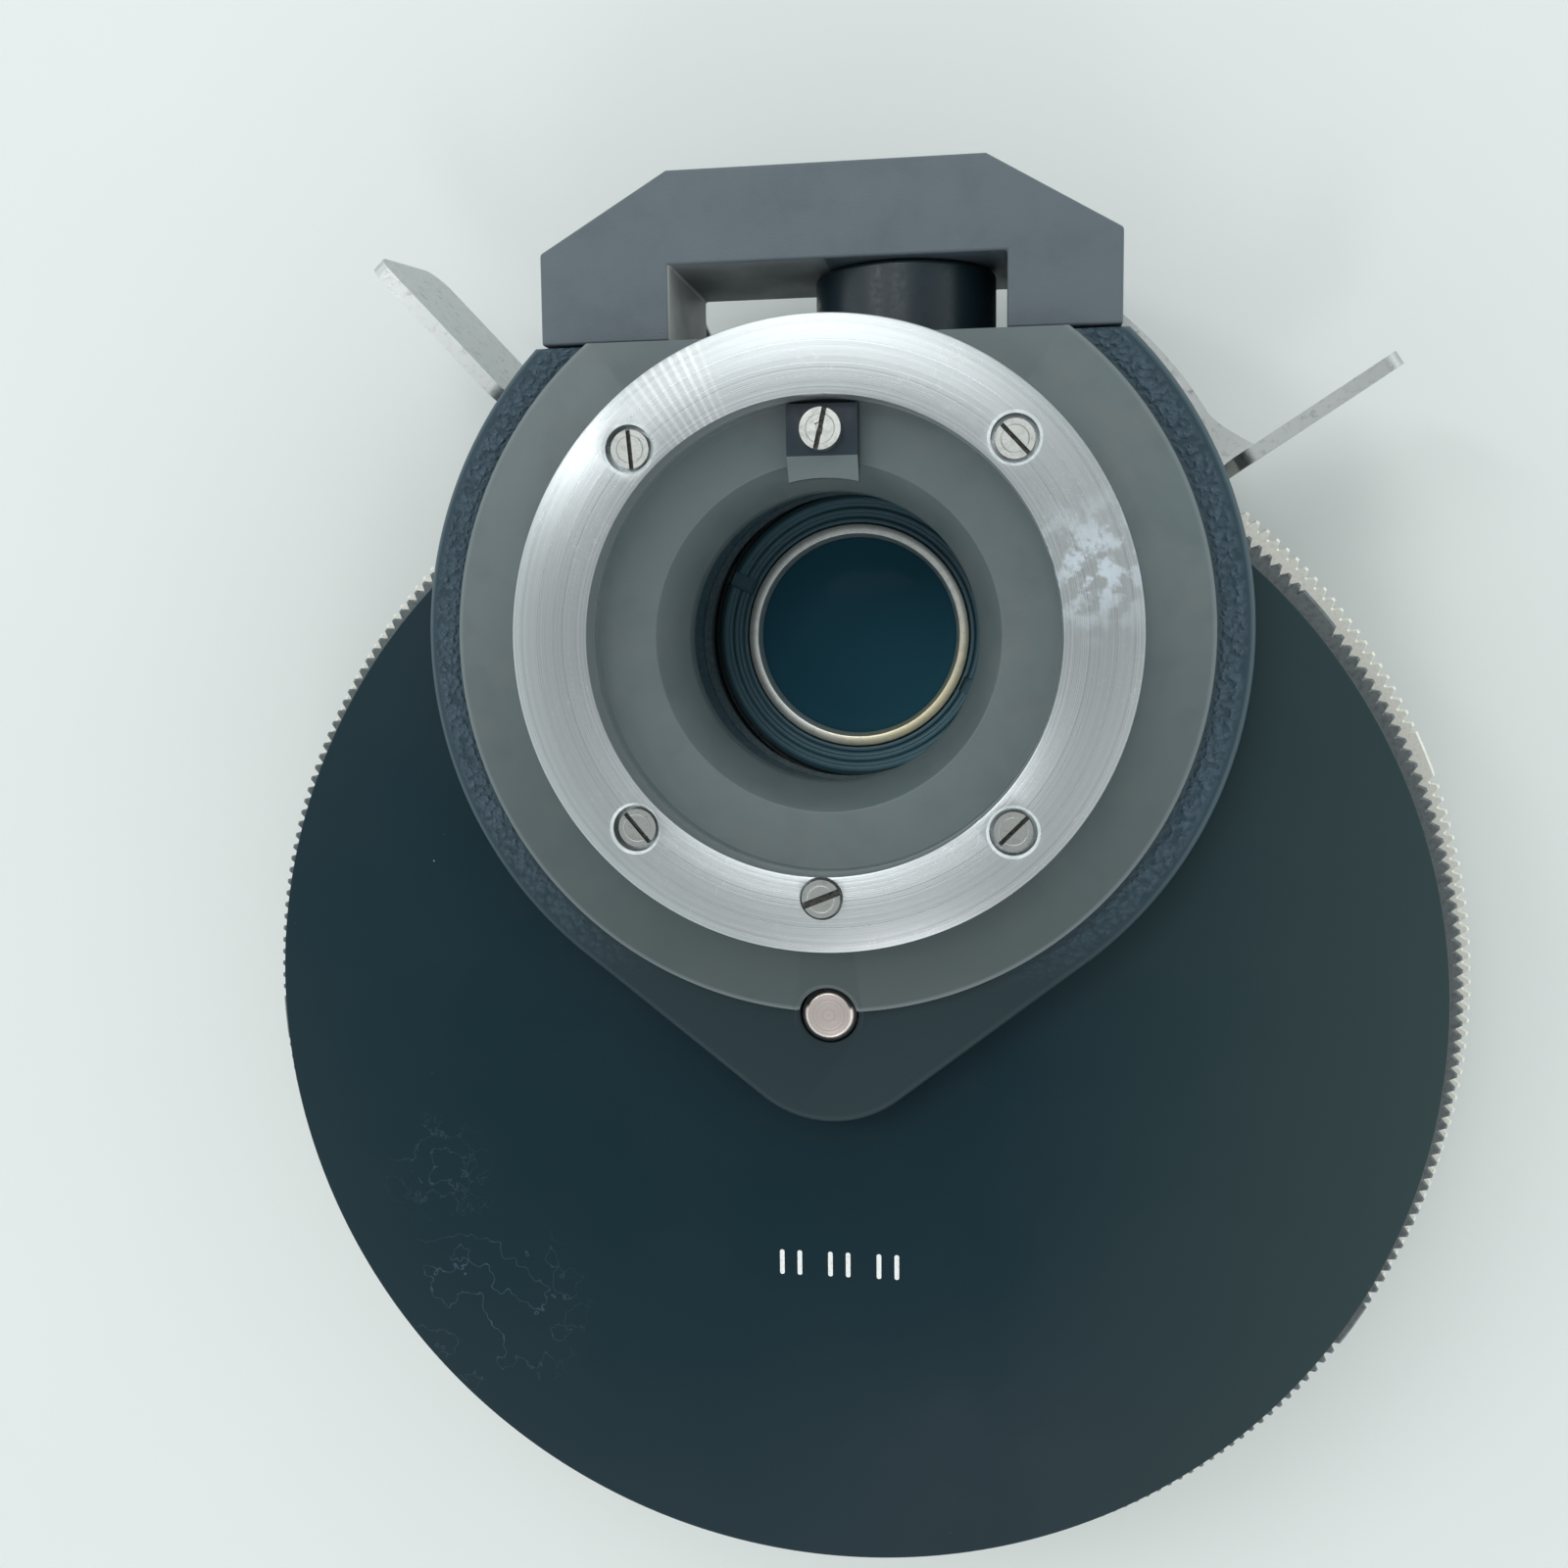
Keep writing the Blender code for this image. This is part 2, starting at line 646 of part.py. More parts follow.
def make_barrel(look):
    profile = [
        (PLATE_BORE_R, LEVER_TOP),
        (BARREL_R, LEVER_TOP),
        (BARREL_R, LEVER_BOTTOM - GAP),
        (BARREL_FLANGE_R, LEVER_BOTTOM - GAP),
        (BARREL_FLANGE_R, LEVER_BOTTOM - 1.6),
        (BARREL_R, LEVER_BOTTOM - 1.6),
        (BARREL_R, BASE),
        (BARREL_BORE_R, BASE),
        (BARREL_BORE_R, FLOOR_BOTTOM),
        (CELL_R + GAP, FLOOR_BOTTOM),
        (CELL_R + GAP, FLOOR_TOP),
        (BARREL_BORE_R, FLOOR_TOP),
        (BARREL_BORE_R, CEILING_BOTTOM),
        (PLATE_BORE_R, CEILING_BOTTOM),
    ]
    barrel = turned("iris_housing", profile, LIGHT, look, 32)
    for i in range(3):
        at = polar(BARREL_SCREW_CIRCLE, 90 + 120 * i)
        drill(barrel, f"barrel_thread_{i + 1}", 1.5, at, CEILING_BOTTOM - ABOVE, LEVER_TOP + ABOVE)
    for i in range(BLADES):
        at = polar(BLADE_PIVOT_R, 360 / BLADES * i)
        drill(barrel, f"pivot_hole_{i + 1}", 1.1, at, CEILING_BOTTOM - ABOVE, LEVER_TOP - 0.6, 12)
    outline = sector(BARREL_BORE_R - 1, BARREL_R + 1, -97.0, 29.0, 8)
    low, high = DRIVE_LEVEL - 1.1, DRIVE_LEVEL + 1.1
    slot = plate("drive_slot", outline, low, high, LIGHT, None)
    cut(barrel, slot)
    return barrel


def beside_line(shape, side, radius, shift=0.0):
    """The point at a radius on a finger's line; side is 1 on the right, -1 on the left."""
    away = shape["beside"] + shift
    turn = -side * math.degrees(math.asin(away / radius))
    return polar(radius, shape["direction"] + turn)


def finger(name, shape, side):
    """A turned-up finger: an upright plate with rounded outer corners."""
    low = LEVER_BOTTOM
    inner = math.sqrt(FINGER_INNER_R**2 - shape["beside"] ** 2)
    outer = math.sqrt(shape["reach"] ** 2 - shape["beside"] ** 2)
    top_corner = 2.5
    low_corner = 3.5
    outline = circle(low_corner, 5, (outer - low_corner, low + low_corner), -90, 90)
    outline += circle(top_corner, 5, (outer - top_corner, FINGER_TOP - top_corner), 0, 90)
    outline += circle(top_corner, 5, (inner + top_corner, FINGER_TOP - top_corner), 90, 90)
    outline.append((inner, low))
    along = Vector(polar(1.0, shape["direction"]))
    across = Vector((side * along.y, -side * along.x))
    slope = math.tan(math.radians(shape["lean"]))
    bm = bmesh.new()
    rows = []
    for shift in (-FINGER_THICKNESS / 2, FINGER_THICKNESS / 2):
        row = []
        for distance, level in outline:
            away = shape["beside"] + shift + slope * (level - low)
            spot = along * distance + across * away
            row.append(bm.verts.new((spot.x * MM, spot.y * MM, height(level))))
        rows.append(row)
    near, far = rows
    bm.faces.new(near)
    bm.faces.new(far[::-1])
    for i in range(len(outline)):
        k = (i + 1) % len(outline)
        bm.faces.new((near[i], near[k], far[k], far[i]))
    return add_object(name, finish_mesh(name, bm), LIGHT, None)


def arm(name, shape, side, end):
    """A flat arm from the yoke ring that flares out at the finger's bend line."""
    inner_r = LEVER_RING_R - 2.0
    start_out = beside_line(shape, side, FINGER_FOOT_R)
    start_angle = math.degrees(math.atan2(start_out[1], start_out[0]))
    sweep = end - start_angle
    outer = [start_out]
    steps = 12
    for i in range(1, steps + 1):
        part = i / steps
        flare = (FINGER_FOOT_R - LEVER_ARM_R) * max(0.0, 1 - part * 3.5) ** 1.5
        outer.append(polar(LEVER_ARM_R + flare, start_angle + sweep * part))
    start_in = beside_line(shape, side, inner_r)
    in_angle = math.degrees(math.atan2(start_in[1], start_in[0]))
    inner = circle(inner_r, 9, start=end, sweep=in_angle - end)
    outline = outer + inner
    if side < 0:
        outline = outline[::-1]
    return plate(name, outline, LEVER_BOTTOM, LEVER_TOP, LIGHT, None)


def make_lever(look, pin_look, cam_look):
    ring_profile = [
        (BARREL_R + GAP, LEVER_BOTTOM),
        (LEVER_RING_R, LEVER_BOTTOM),
        (LEVER_RING_R, LEVER_TOP),
        (BARREL_R + GAP, LEVER_TOP),
    ]
    lever = turned("iris_lever", ring_profile, LIGHT, look, 48)
    join(lever, arm("arm_right", RIGHT_FINGER, 1, ARM_END_RIGHT))
    join(lever, arm("arm_left", LEFT_FINGER, -1, ARM_END_LEFT))
    join(lever, finger("finger_right", RIGHT_FINGER, 1))
    join(lever, finger("finger_left", LEFT_FINGER, -1))
    drop = sector(BARREL_FLANGE_R + 0.6, LEVER_RING_R, -94.0, 8.0, 4)
    join(lever, plate("drop_tab", drop, CAM_BOTTOM, LEVER_TOP - 0.6, LIGHT, None))
    level = HEIGHT + DRIVE_LEVEL
    inner = LIGHT + Vector((0.0, -BARREL_BORE_R + 3.0))
    outer = LIGHT + Vector((0.0, -LEVER_RING_R - 0.6))
    beyond = LIGHT + Vector((0.0, -LEVER_RING_R - 3.0))
    hole = rod("drive_pin_hole", DRIVE_HOLE_R, (*inner, level), (*beyond, level), None)
    cut(lever, hole)
    cam_profile = [
        (BLADE_INNER_R, CAM_BOTTOM),
        (BARREL_BORE_R - 0.6, CAM_BOTTOM),
        (BARREL_BORE_R - 0.6, CAM_TOP),
        (BLADE_INNER_R, CAM_TOP),
    ]
    cam = turned("iris_cam_ring", cam_profile, LIGHT, cam_look, 40)
    deep = LIGHT + Vector((0.0, -BARREL_BORE_R + 3.4))
    cam_hole = rod("cam_pin_hole", DRIVE_HOLE_R, (*deep, level), (*beyond, level), None)
    cut(cam, cam_hole)
    rod("iris_drive_pin", DRIVE_PIN_R, (*inner, level), (*outer, level), pin_look, 16)


def make_blades(look):
    """Six sickle blades, each at its own level, with a pivot pin up into the barrel."""
    pitch = BLADE_THICKNESS + GAP
    for i in range(BLADES):
        top = FIRST_BLADE_TOP - pitch * i
        bottom = top - BLADE_THICKNESS
        angle = 360 / BLADES * i
        name = f"iris_blade_{i + 1}"
        pivot = Vector(polar(BLADE_PIVOT_R, angle))
        outline = sector(BLADE_INNER_R, BLADE_OUTER_R, -3.0, BLADE_SWEEP, 10)
        shift = [(x - BLADE_PIVOT_R, y) for x, y in outline]
        blade = plate(name, shift, bottom, top, LIGHT + pivot, look)
        blade.rotation_euler.z = math.radians(angle)
        lug = circle(1.3, 6, start=-90, sweep=180) + [(-5.0, 1.3), (-5.0, -1.3)]
        lug_piece = plate(f"{name}_lug", lug, bottom, top, LIGHT + pivot, None)
        lug_piece.rotation_euler.z = math.radians(angle)
        join(blade, lug_piece)
        pin = circle(0.8, 8)
        pin_top = LEVER_TOP - 0.9
        join(blade, plate(f"{name}_pin", pin, bottom + 0.1, pin_top, LIGHT + pivot, None))


def make_lens(cell_look, ring_look, glass_look):
    cell = [
        (LENS_R - 1.0, CELL_BOTTOM),
        (27.0, CELL_BOTTOM),
        (27.0, FLOOR_BOTTOM - GAP),
        (CELL_R, FLOOR_BOTTOM - GAP),
        (CELL_R, CAM_TOP),
        (16.1, CAM_TOP),
        (16.1, LENS_SEAT),
        (LENS_R + GAP, LENS_SEAT),
        (LENS_R + GAP, LIP_TOP),
        (LENS_R - 1.0, LIP_TOP),
    ]
    turned("lens_cell", cell, LIGHT, cell_look, 32)
    low, high = LENS_SEAT + GAP, CAM_TOP - 0.1
    ring = [(14.0, low + GAP), (14.8, high), (15.8, high), (15.8, low), (14.0, low)]
    turned("lens_retaining_ring", ring, LIGHT, ring_look, 40)
    rim = LENS_SEAT - 0.2
    crown = rim + 1.3
    lens_bottom = LIP_TOP + GAP
    radius = (LENS_R**2 + (crown - rim) ** 2) / (2 * (crown - rim))
    dome = []
    steps = 4
    for i in range(steps + 1):
        r = LENS_R * (1 - i / steps)
        dome.append((r, crown - radius + math.sqrt(radius**2 - r**2)))
    profile = [(0.0, lens_bottom), (LENS_R, lens_bottom)] + dome
    turned("condenser_lens", profile, LIGHT, glass_look, 36)


# Rear bracket with its post.

def make_bracket(look, screw_look, post_look):
    base = HOUSING_FLAT + GAP
    outline = [
        (WINDOW_RIGHT, base),
        (BRACKET_HALF, base),
        (BRACKET_HALF, BRACKET_SHOULDER),
        (BRACKET_TOP_HALF, BRACKET_BACK),
        (-BRACKET_TOP_HALF, BRACKET_BACK),
        (-BRACKET_HALF, BRACKET_SHOULDER),
        (-BRACKET_HALF, base),
        (WINDOW_LEFT, base),
        (WINDOW_LEFT, WINDOW_TOP),
        (WINDOW_RIGHT, WINDOW_TOP),
    ]
    bracket = plate("bracket", outline, BRACKET_REAR, BRACKET_FRONT, LIGHT, look)
    bevel = bracket.modifiers.new("edge", "BEVEL")
    bevel.width = 0.4 * MM
    bevel.segments = 1
    bevel.limit_method = "ANGLE"
    bevel.angle_limit = math.radians(30)
    level = HEIGHT + BRACKET_SCREW_LEVEL
    seat = AXIS_Y + base + 3.6
    shank_y = AXIS_Y + WALL_SCREW_Y + 0.6
    beyond = AXIS_Y + BRACKET_BACK + 4.0
    for side, x in (("left", -BRACKET_SCREW_X), ("right", BRACKET_SCREW_X)):
        past = (x, beyond, level)
        cut(bracket, rod(f"bracket_sink_{side}", 3.2, (x, seat, level), past, None))
        hole_start = (x, shank_y - ABOVE, level)
        cut(bracket, rod(f"bracket_hole_{side}", THREAD_R, hole_start, past, None))
        head_start = (x, seat + GAP, level)
        head_end = (x, seat + 3.1, level)
        screw = rod(f"bracket_screw_{side}", 2.75, head_start, head_end, screw_look, 16)
        shank_start = (x, shank_y, level)
        shank_end = (x, seat + 1.5, level)
        join(screw, rod(f"bracket_shank_{side}", 1.4, shank_start, shank_end, None))
        key_start = (x, seat + 1.7, level)
        cut(screw, rod(f"bracket_socket_{side}", 1.45, key_start, past, None, 6))
    post_level = HEIGHT + POST_LEVEL
    start = (POST_X, AXIS_Y + base, post_level)
    end = (POST_X, AXIS_Y + WINDOW_TOP - GAP, post_level)
    rod("pillar_post", POST_R, start, end, post_look, 32)


def main():
    clear_scene()
    steel = material("turned_steel", (0.62, 0.64, 0.66), 0.32, 1.0)
    screw_steel = material("screw_steel", (0.55, 0.56, 0.57), 0.35, 1.0)
    sheet = material("stainless_sheet", (0.58, 0.60, 0.61), 0.38, 1.0)
    dark_block = material("blued_block", (0.03, 0.04, 0.05), 0.5)
    collar_grey = material("collar_grey", (0.14, 0.14, 0.145), 0.5)
    crinkle = material("crinkle_paint", (0.045, 0.07, 0.1), 0.6)
    cover_black = material("cover_black", (0.013, 0.03, 0.045), 0.4)
    wheel_dark = material("wheel_dark", (0.12, 0.13, 0.14), 0.45, 0.6)
    wheel_light = material("wheel_light", (0.75, 0.75, 0.72), 0.4, 0.6)
    bracket_grey = material("bracket_grey", (0.13, 0.15, 0.17), 0.55)
    black = material("black_anodised", (0.012, 0.014, 0.016), 0.45)
    blade_steel = material("blade_steel", (0.03, 0.03, 0.035), 0.4, 0.7)
    brass = material("nickelled_brass", (0.7, 0.62, 0.45), 0.25, 1.0)
    glass = material("optical_glass", (0.03, 0.05, 0.055), 0.03)
    make_change_ring(steel)
    make_ring_screws(screw_steel)
    make_key(dark_block, screw_steel)
    make_collar(collar_grey)
    make_housing(crinkle)
    make_cover(cover_black)
    make_axle(steel, black)
    upper = (UPPER_WHEEL_BOTTOM, UPPER_WHEEL_TOP)
    lower = (LOWER_WHEEL_BOTTOM, LOWER_WHEEL_TOP)
    make_wheel("upper_wheel", UPPER_WHEEL_R, *upper, wheel_dark)
    make_wheel("lower_wheel", LOWER_WHEEL_R, *lower, wheel_light)
    make_inserts("upper", *upper, 7.0, black)
    make_inserts("lower", *lower, 8.0, glass)
    make_detents(screw_steel, steel)
    bottom = make_bottom_plate(black, screw_steel)
    make_foot(bottom, black, screw_steel)
    make_barrel(black)
    make_lever(sheet, screw_steel, black)
    make_blades(blade_steel)
    make_lens(black, brass, glass)
    make_bracket(bracket_grey, screw_steel, black)


main()
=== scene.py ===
"""Condenser turret unit lying face up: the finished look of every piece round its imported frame."""
import math

import bmesh
import bpy
from mathutils import Matrix, Vector


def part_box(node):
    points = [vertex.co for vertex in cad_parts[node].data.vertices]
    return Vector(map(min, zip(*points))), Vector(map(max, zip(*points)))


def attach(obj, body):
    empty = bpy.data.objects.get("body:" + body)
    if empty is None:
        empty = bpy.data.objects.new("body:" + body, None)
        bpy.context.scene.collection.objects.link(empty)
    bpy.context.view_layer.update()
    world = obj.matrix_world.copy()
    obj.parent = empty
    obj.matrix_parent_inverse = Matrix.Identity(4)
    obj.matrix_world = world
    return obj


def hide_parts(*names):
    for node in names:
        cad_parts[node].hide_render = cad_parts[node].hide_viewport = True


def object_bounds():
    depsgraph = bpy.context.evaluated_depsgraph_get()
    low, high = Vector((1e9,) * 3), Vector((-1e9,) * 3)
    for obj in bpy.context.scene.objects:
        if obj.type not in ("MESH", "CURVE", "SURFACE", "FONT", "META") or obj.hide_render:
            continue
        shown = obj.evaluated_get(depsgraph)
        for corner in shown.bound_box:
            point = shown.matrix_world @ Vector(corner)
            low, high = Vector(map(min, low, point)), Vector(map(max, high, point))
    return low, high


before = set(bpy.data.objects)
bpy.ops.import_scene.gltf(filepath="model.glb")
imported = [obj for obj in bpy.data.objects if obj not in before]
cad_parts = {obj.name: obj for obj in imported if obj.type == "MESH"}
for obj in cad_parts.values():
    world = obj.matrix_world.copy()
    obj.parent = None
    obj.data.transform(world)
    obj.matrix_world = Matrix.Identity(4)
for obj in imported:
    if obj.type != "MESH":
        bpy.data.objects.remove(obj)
cad_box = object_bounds()

MM = 0.001


def middle(node):
    low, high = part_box(node)
    return (Vector(low) + Vector(high)) / 2 / MM


def low_z(node):
    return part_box(node)[0][2] / MM


def high_z(node):
    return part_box(node)[1][2] / MM


def half_width(node):
    low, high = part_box(node)
    return (high[0] - low[0]) / 2 / MM


# The two upright axes and the level of the change ring's face. Sizes are in millimetres.
LIGHT = middle("change_ring").xy
TURRET = middle("cover_plate").xy
TOP = high_z("change_ring")
OFFSET = LIGHT.y - TURRET.y
HALF_TURN = 180.0

# Change ring, its screws and the key. A screw place is measured from the light path.
RING_R = half_width("change_ring")
RING_BORE_R = 28.1
SCREW_CIRCLE = 31.9
RING_SCREWS = 4
SEAT_R = 2.8
SEAT_RIM_R = 3.15
SEAT_DEPTH = 2.9
STOP_SEAT_R = 2.6
STOP_SEAT_DEPTH = 1.6
HEAD_HEIGHT = 1.7
SLOT_DEPTH = 0.75
SLOT_WIDTH = 0.6
SLOT_LENGTH = 7.0
STOP_SCREW = Vector((0.0, -30.7))
KEY_SCREW = Vector((0.0, 24.5))
KEY_HOLE_R = 1.7
KEY_NOSE_R = 19.0
KEY_BACK = 27.6
SCREW_HOLE_R = 1.6

# Collar, housing and cover.
COLLAR_R = 45.7
COLLAR_TOP = TOP - 4.5
COLLAR_EDGE = TOP - 5.7
COLLAR_STEP_R = 29.7
COLLAR_NECK_R = 21.5
FUNNEL_R = 21.1
ANNULUS = TOP - 6.2
BORE_R = 18.2
HOUSING_R = 50.3
HOUSING_TIP_R = 13.8
HOUSING_FLAT = 35.6
HOUSING_UNDER = TOP - 11.2
WALL_SCREW_X = 35.0
WALL_SCREW_Y = 31.0
WHEEL_CLEARANCE_R = 80.9
COVER_R = half_width("cover_plate")
COVER_BORE_R = 22.0
MARKS_SPOT = Vector((0.4, -80.7))

# Axle, wheels and click stops. A pocket holds one insert.
PIN_R = 3.4
PIN_HOLE_R = 3.65
PIN_SINK_R = 4.3
AXLE_R = 4.5
AXLE_SHOULDER = TOP - 30.7
NUT_R = 5.6
COIL_R = 0.95
WIRE_R = 0.09
COIL_TURNS = 1.5
POCKET_R = 19.0
POCKETS = 5
DETENT_CIRCLE = 68.0
DETENT_R = 1.6
TEETH = 295
KNURL_DEPTH = 0.85
LAND_WIDTH = 4.1

# Bottom plate and foot. Each foot screw has a side, its angle round the axle and its slot angle.
PLATE_R = 79.0
PLATE_BORE_R = 20.0
FOOT_INNER_R = 44.0
FOOT_OUTER_R = 52.0
FOOT_START = 215.0
FOOT_SWEEP = 110.0
FOOT_SCREWS = (("left", 235.0, 15.0), ("right", 305.0, 70.0))

# Iris barrel, blades and lens.
BARREL_R = 33.7
BARREL_BORE_R = 31.8
BARREL_FLANGE_R = 37.5
BARREL_SCREW_CIRCLE = 26.0
BARREL_SCREWS = 3
BLADES = 6
PIVOT_CIRCLE = 30.3
PIVOT_HOLE_R = 1.1
BLADE_OUTER_R = 27.0
BLADE_INNER_R = 21.0
CAM_RING_R = 31.2
DRIVE_HOLE_R = 1.1
CELL_R = 20.2
LENS_R = 14.6

# Finger yoke. A finger stands beside a line that runs out from the light path.
LEVER_TOP = TOP - 34.3
LEVER_BOTTOM = TOP - 36.1
YOKE_R = 40.0
DRIVE_LEVEL = TOP - 43.5
FINGER_SHEET = 1.8
FINGER_TOP = TOP - 18.8
FINGER_INNER_R = 53.5
FINGER_FOOT_R = 59.5
ARM_R = 55.5
ARM_INNER_R = 38.0
FINGERS = (
    {"name": "right", "side": 1, "direction": 33.1, "beside": 9.6, "reach": 76.1,
     "lean": 0.0, "arm_end": 50.0},
    {"name": "left", "side": -1, "direction": 133.3, "beside": 8.5, "reach": 78.7,
     "lean": 6.5, "arm_end": 115.0},
)

BRACKET_SCREW_X = 26.0
BRACKET_LEVEL = TOP - 18.0
GAP = 0.3


# --- Mesh helpers ---

def polar(radius, angle):
    turn = math.radians(angle)
    return Vector((radius * math.cos(turn), radius * math.sin(turn)))


def ring_of(radius, count, start=0.0):
    """Evenly spaced places on a circle round the light path."""
    return [LIGHT + polar(radius, start + 360.0 / count * i) for i in range(count)]


def ring_screw_spots():
    return ring_of(SCREW_CIRCLE, RING_SCREWS, 45.0)


def barrel_screw_spots():
    return ring_of(BARREL_SCREW_CIRCLE, BARREL_SCREWS, 90.0)


def wall_screw_spot(side):
    return LIGHT + Vector((WALL_SCREW_X * side, WALL_SCREW_Y))


def detent_spot():
    return TURRET + polar(DETENT_CIRCLE, -90)


def as_object(name, bm, smooth=32.0):
    """Merges doubles, points the faces outwards and links the mesh as an object."""
    bmesh.ops.remove_doubles(bm, verts=bm.verts, dist=1e-7)
    bmesh.ops.recalc_face_normals(bm, faces=bm.faces)
    mesh = bpy.data.meshes.new(name)
    bm.to_mesh(mesh)
    bm.free()
    obj = bpy.data.objects.new(name, mesh)
    bpy.context.scene.collection.objects.link(obj)
    return smoothed(obj, smooth)


def smoothed(obj, angle=32.0):
    obj.data.shade_smooth()
    obj.data.set_sharp_from_angle(angle=math.radians(angle))
    return obj


def turned(name, profile, axis, steps=160, soften=0.15, closed=True):
    """A lathe-turned piece: a (radius, level) outline with eased corners, spun round."""
    bm = bmesh.new()
    points = [bm.verts.new(((axis.x + r) * MM, axis.y * MM, z * MM)) for r, z in profile]
    for near, far in zip(points, points[1:]):
        bm.edges.new((near, far))
    if closed:
        bm.edges.new((points[-1], points[0]))
    if soften:
        corners = [v for v in points if len(v.link_edges) == 2]
        bmesh.ops.bevel(bm, geom=corners, offset=soften * MM, offset_type="OFFSET",
                        segments=2, profile=0.5, affect="VERTICES", material=-1)
    centre = (axis.x * MM, axis.y * MM, 0.0)
    bmesh.ops.spin(bm, geom=bm.verts[:] + bm.edges[:], cent=centre, axis=(0, 0, 1),
                   dvec=(0, 0, 0), angle=2 * math.pi, steps=steps, use_merge=True)
    return as_object(name, bm)


class Plan:
    """An outline of corners and arcs, filled, and drawn up into a slab."""

    def __init__(self, centre=LIGHT):
        self.bm = bmesh.new()
        self.centre = centre
        self.runs = []

    def corner(self, x, y):
        spot = (self.centre + Vector((x, y))) * MM
        self.runs.append([self.bm.verts.new((*spot, 0.0))])
        return self

    def corners(self, *places):
        for x, y in places:
            self.corner(x, y)
        return self

    def arc(self, radius, start, end, steps=24, about=(0.0, 0.0)):
        """One vertex swept from the start angle to the end angle."""
        before = len(self.bm.verts)
        hub = self.centre + Vector(about)
        first = self.bm.verts.new((*((hub + polar(radius, start)) * MM), 0.0))
        bmesh.ops.spin(self.bm, geom=[first], cent=(*(hub * MM), 0.0), axis=(0, 0, 1),
                       dvec=(0, 0, 0), angle=math.radians(end - start), steps=steps)
        self.bm.verts.ensure_lookup_table()
        self.runs.append(self.bm.verts[before:])
        return self

    def drawn(self, low, high):
        for run, following in zip(self.runs, self.runs[1:] + self.runs[:1]):
            self.bm.edges.new((run[-1], following[0]))
        bmesh.ops.remove_doubles(self.bm, verts=self.bm.verts, dist=1e-7)
        bmesh.ops.contextual_create(self.bm, geom=self.bm.edges[:])
        bmesh.ops.translate(self.bm, verts=self.bm.verts, vec=(0, 0, low * MM))
        made = bmesh.ops.extrude_face_region(self.bm, geom=self.bm.faces[:])
        lifted = [item for item in made["geom"] if isinstance(item, bmesh.types.BMVert)]
        bmesh.ops.translate(self.bm, verts=lifted, vec=(0, 0, (high - low) * MM))
        return self.bm

    def slab(self, name, low, high):
        return as_object(name, self.drawn(low, high))


def bar(name, length, width, angle, low, high, spot, start=None):
    """A straight upright slab centred on a spot, or running outwards from start."""
    near = -length / 2 if start is None else start
    along, across = polar(1.0, angle), polar(width / 2, angle + 90)
    far = near + length
    ends = (along * near - across, along * far - across, along * far + across,
            along * near + across)
    return Plan(spot).corners(*ends).slab(name, low, high)


def rod(name, radius, start, end, steps=48):
    """A round or many-sided bar between two points."""
    start, end = Vector(start), Vector(end)
    along = end - start
    turn = along.to_track_quat("Z", "Y").to_matrix().to_4x4()
    place_at = Matrix.Translation((start + along / 2) * MM) @ turn
    bm = bmesh.new()
    bmesh.ops.create_cone(bm, cap_ends=True, segments=steps, radius1=radius * MM,
                          radius2=radius * MM, depth=along.length * MM, matrix=place_at)
    return as_object(name, bm)


def drum(name, radius, low, high, centre, steps=96):
    return rod(name, radius, (*centre, low), (*centre, high), steps)


def bracket_rod(name, side, radius, near, far, steps):
    """A level rod on a bracket screw's line, between two distances behind the light path."""
    x = BRACKET_SCREW_X * side
    return rod(name, radius, (x, LIGHT.y + near, BRACKET_LEVEL),
               (x, LIGHT.y + far, BRACKET_LEVEL), steps)


def combine(obj, others, operation="DIFFERENCE"):
    """Cuts other solids out of a piece, or unites them with it, and applies the result."""
    for other in others:
        modifier = obj.modifiers.new(other.name, "BOOLEAN")
        modifier.operation = operation
        modifier.solver = "EXACT"
        modifier.object = other
    graph = bpy.context.evaluated_depsgraph_get()
    worked = bpy.data.meshes.new_from_object(obj.evaluated_get(graph))
    obj.modifiers.clear()
    former = obj.data
    obj.data = worked
    bpy.data.meshes.remove(former)
    for other in others:
        bpy.data.objects.remove(other, do_unlink=True)
    return smoothed(obj)


def ease_edges(obj, width, segments=2, angle=35.0):
    """A small live bevel that catches the light along every hard edge."""
    modifier = obj.modifiers.new("eased edges", "BEVEL")
    modifier.width = width * MM
    modifier.segments = segments
    modifier.limit_method = "ANGLE"
    modifier.angle_limit = math.radians(angle)
    modifier.harden_normals = True
    return obj


def dress(obj, look, body, *stands_for, slot=None):
    """Gives a piece its material, the body it rides on and the nodes it stands for."""
    obj.data.materials.clear()
    obj.data.materials.append(look)
    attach(obj, body)
    if stands_for:
        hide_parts(*stands_for)
    return obj


# --- Materials ---

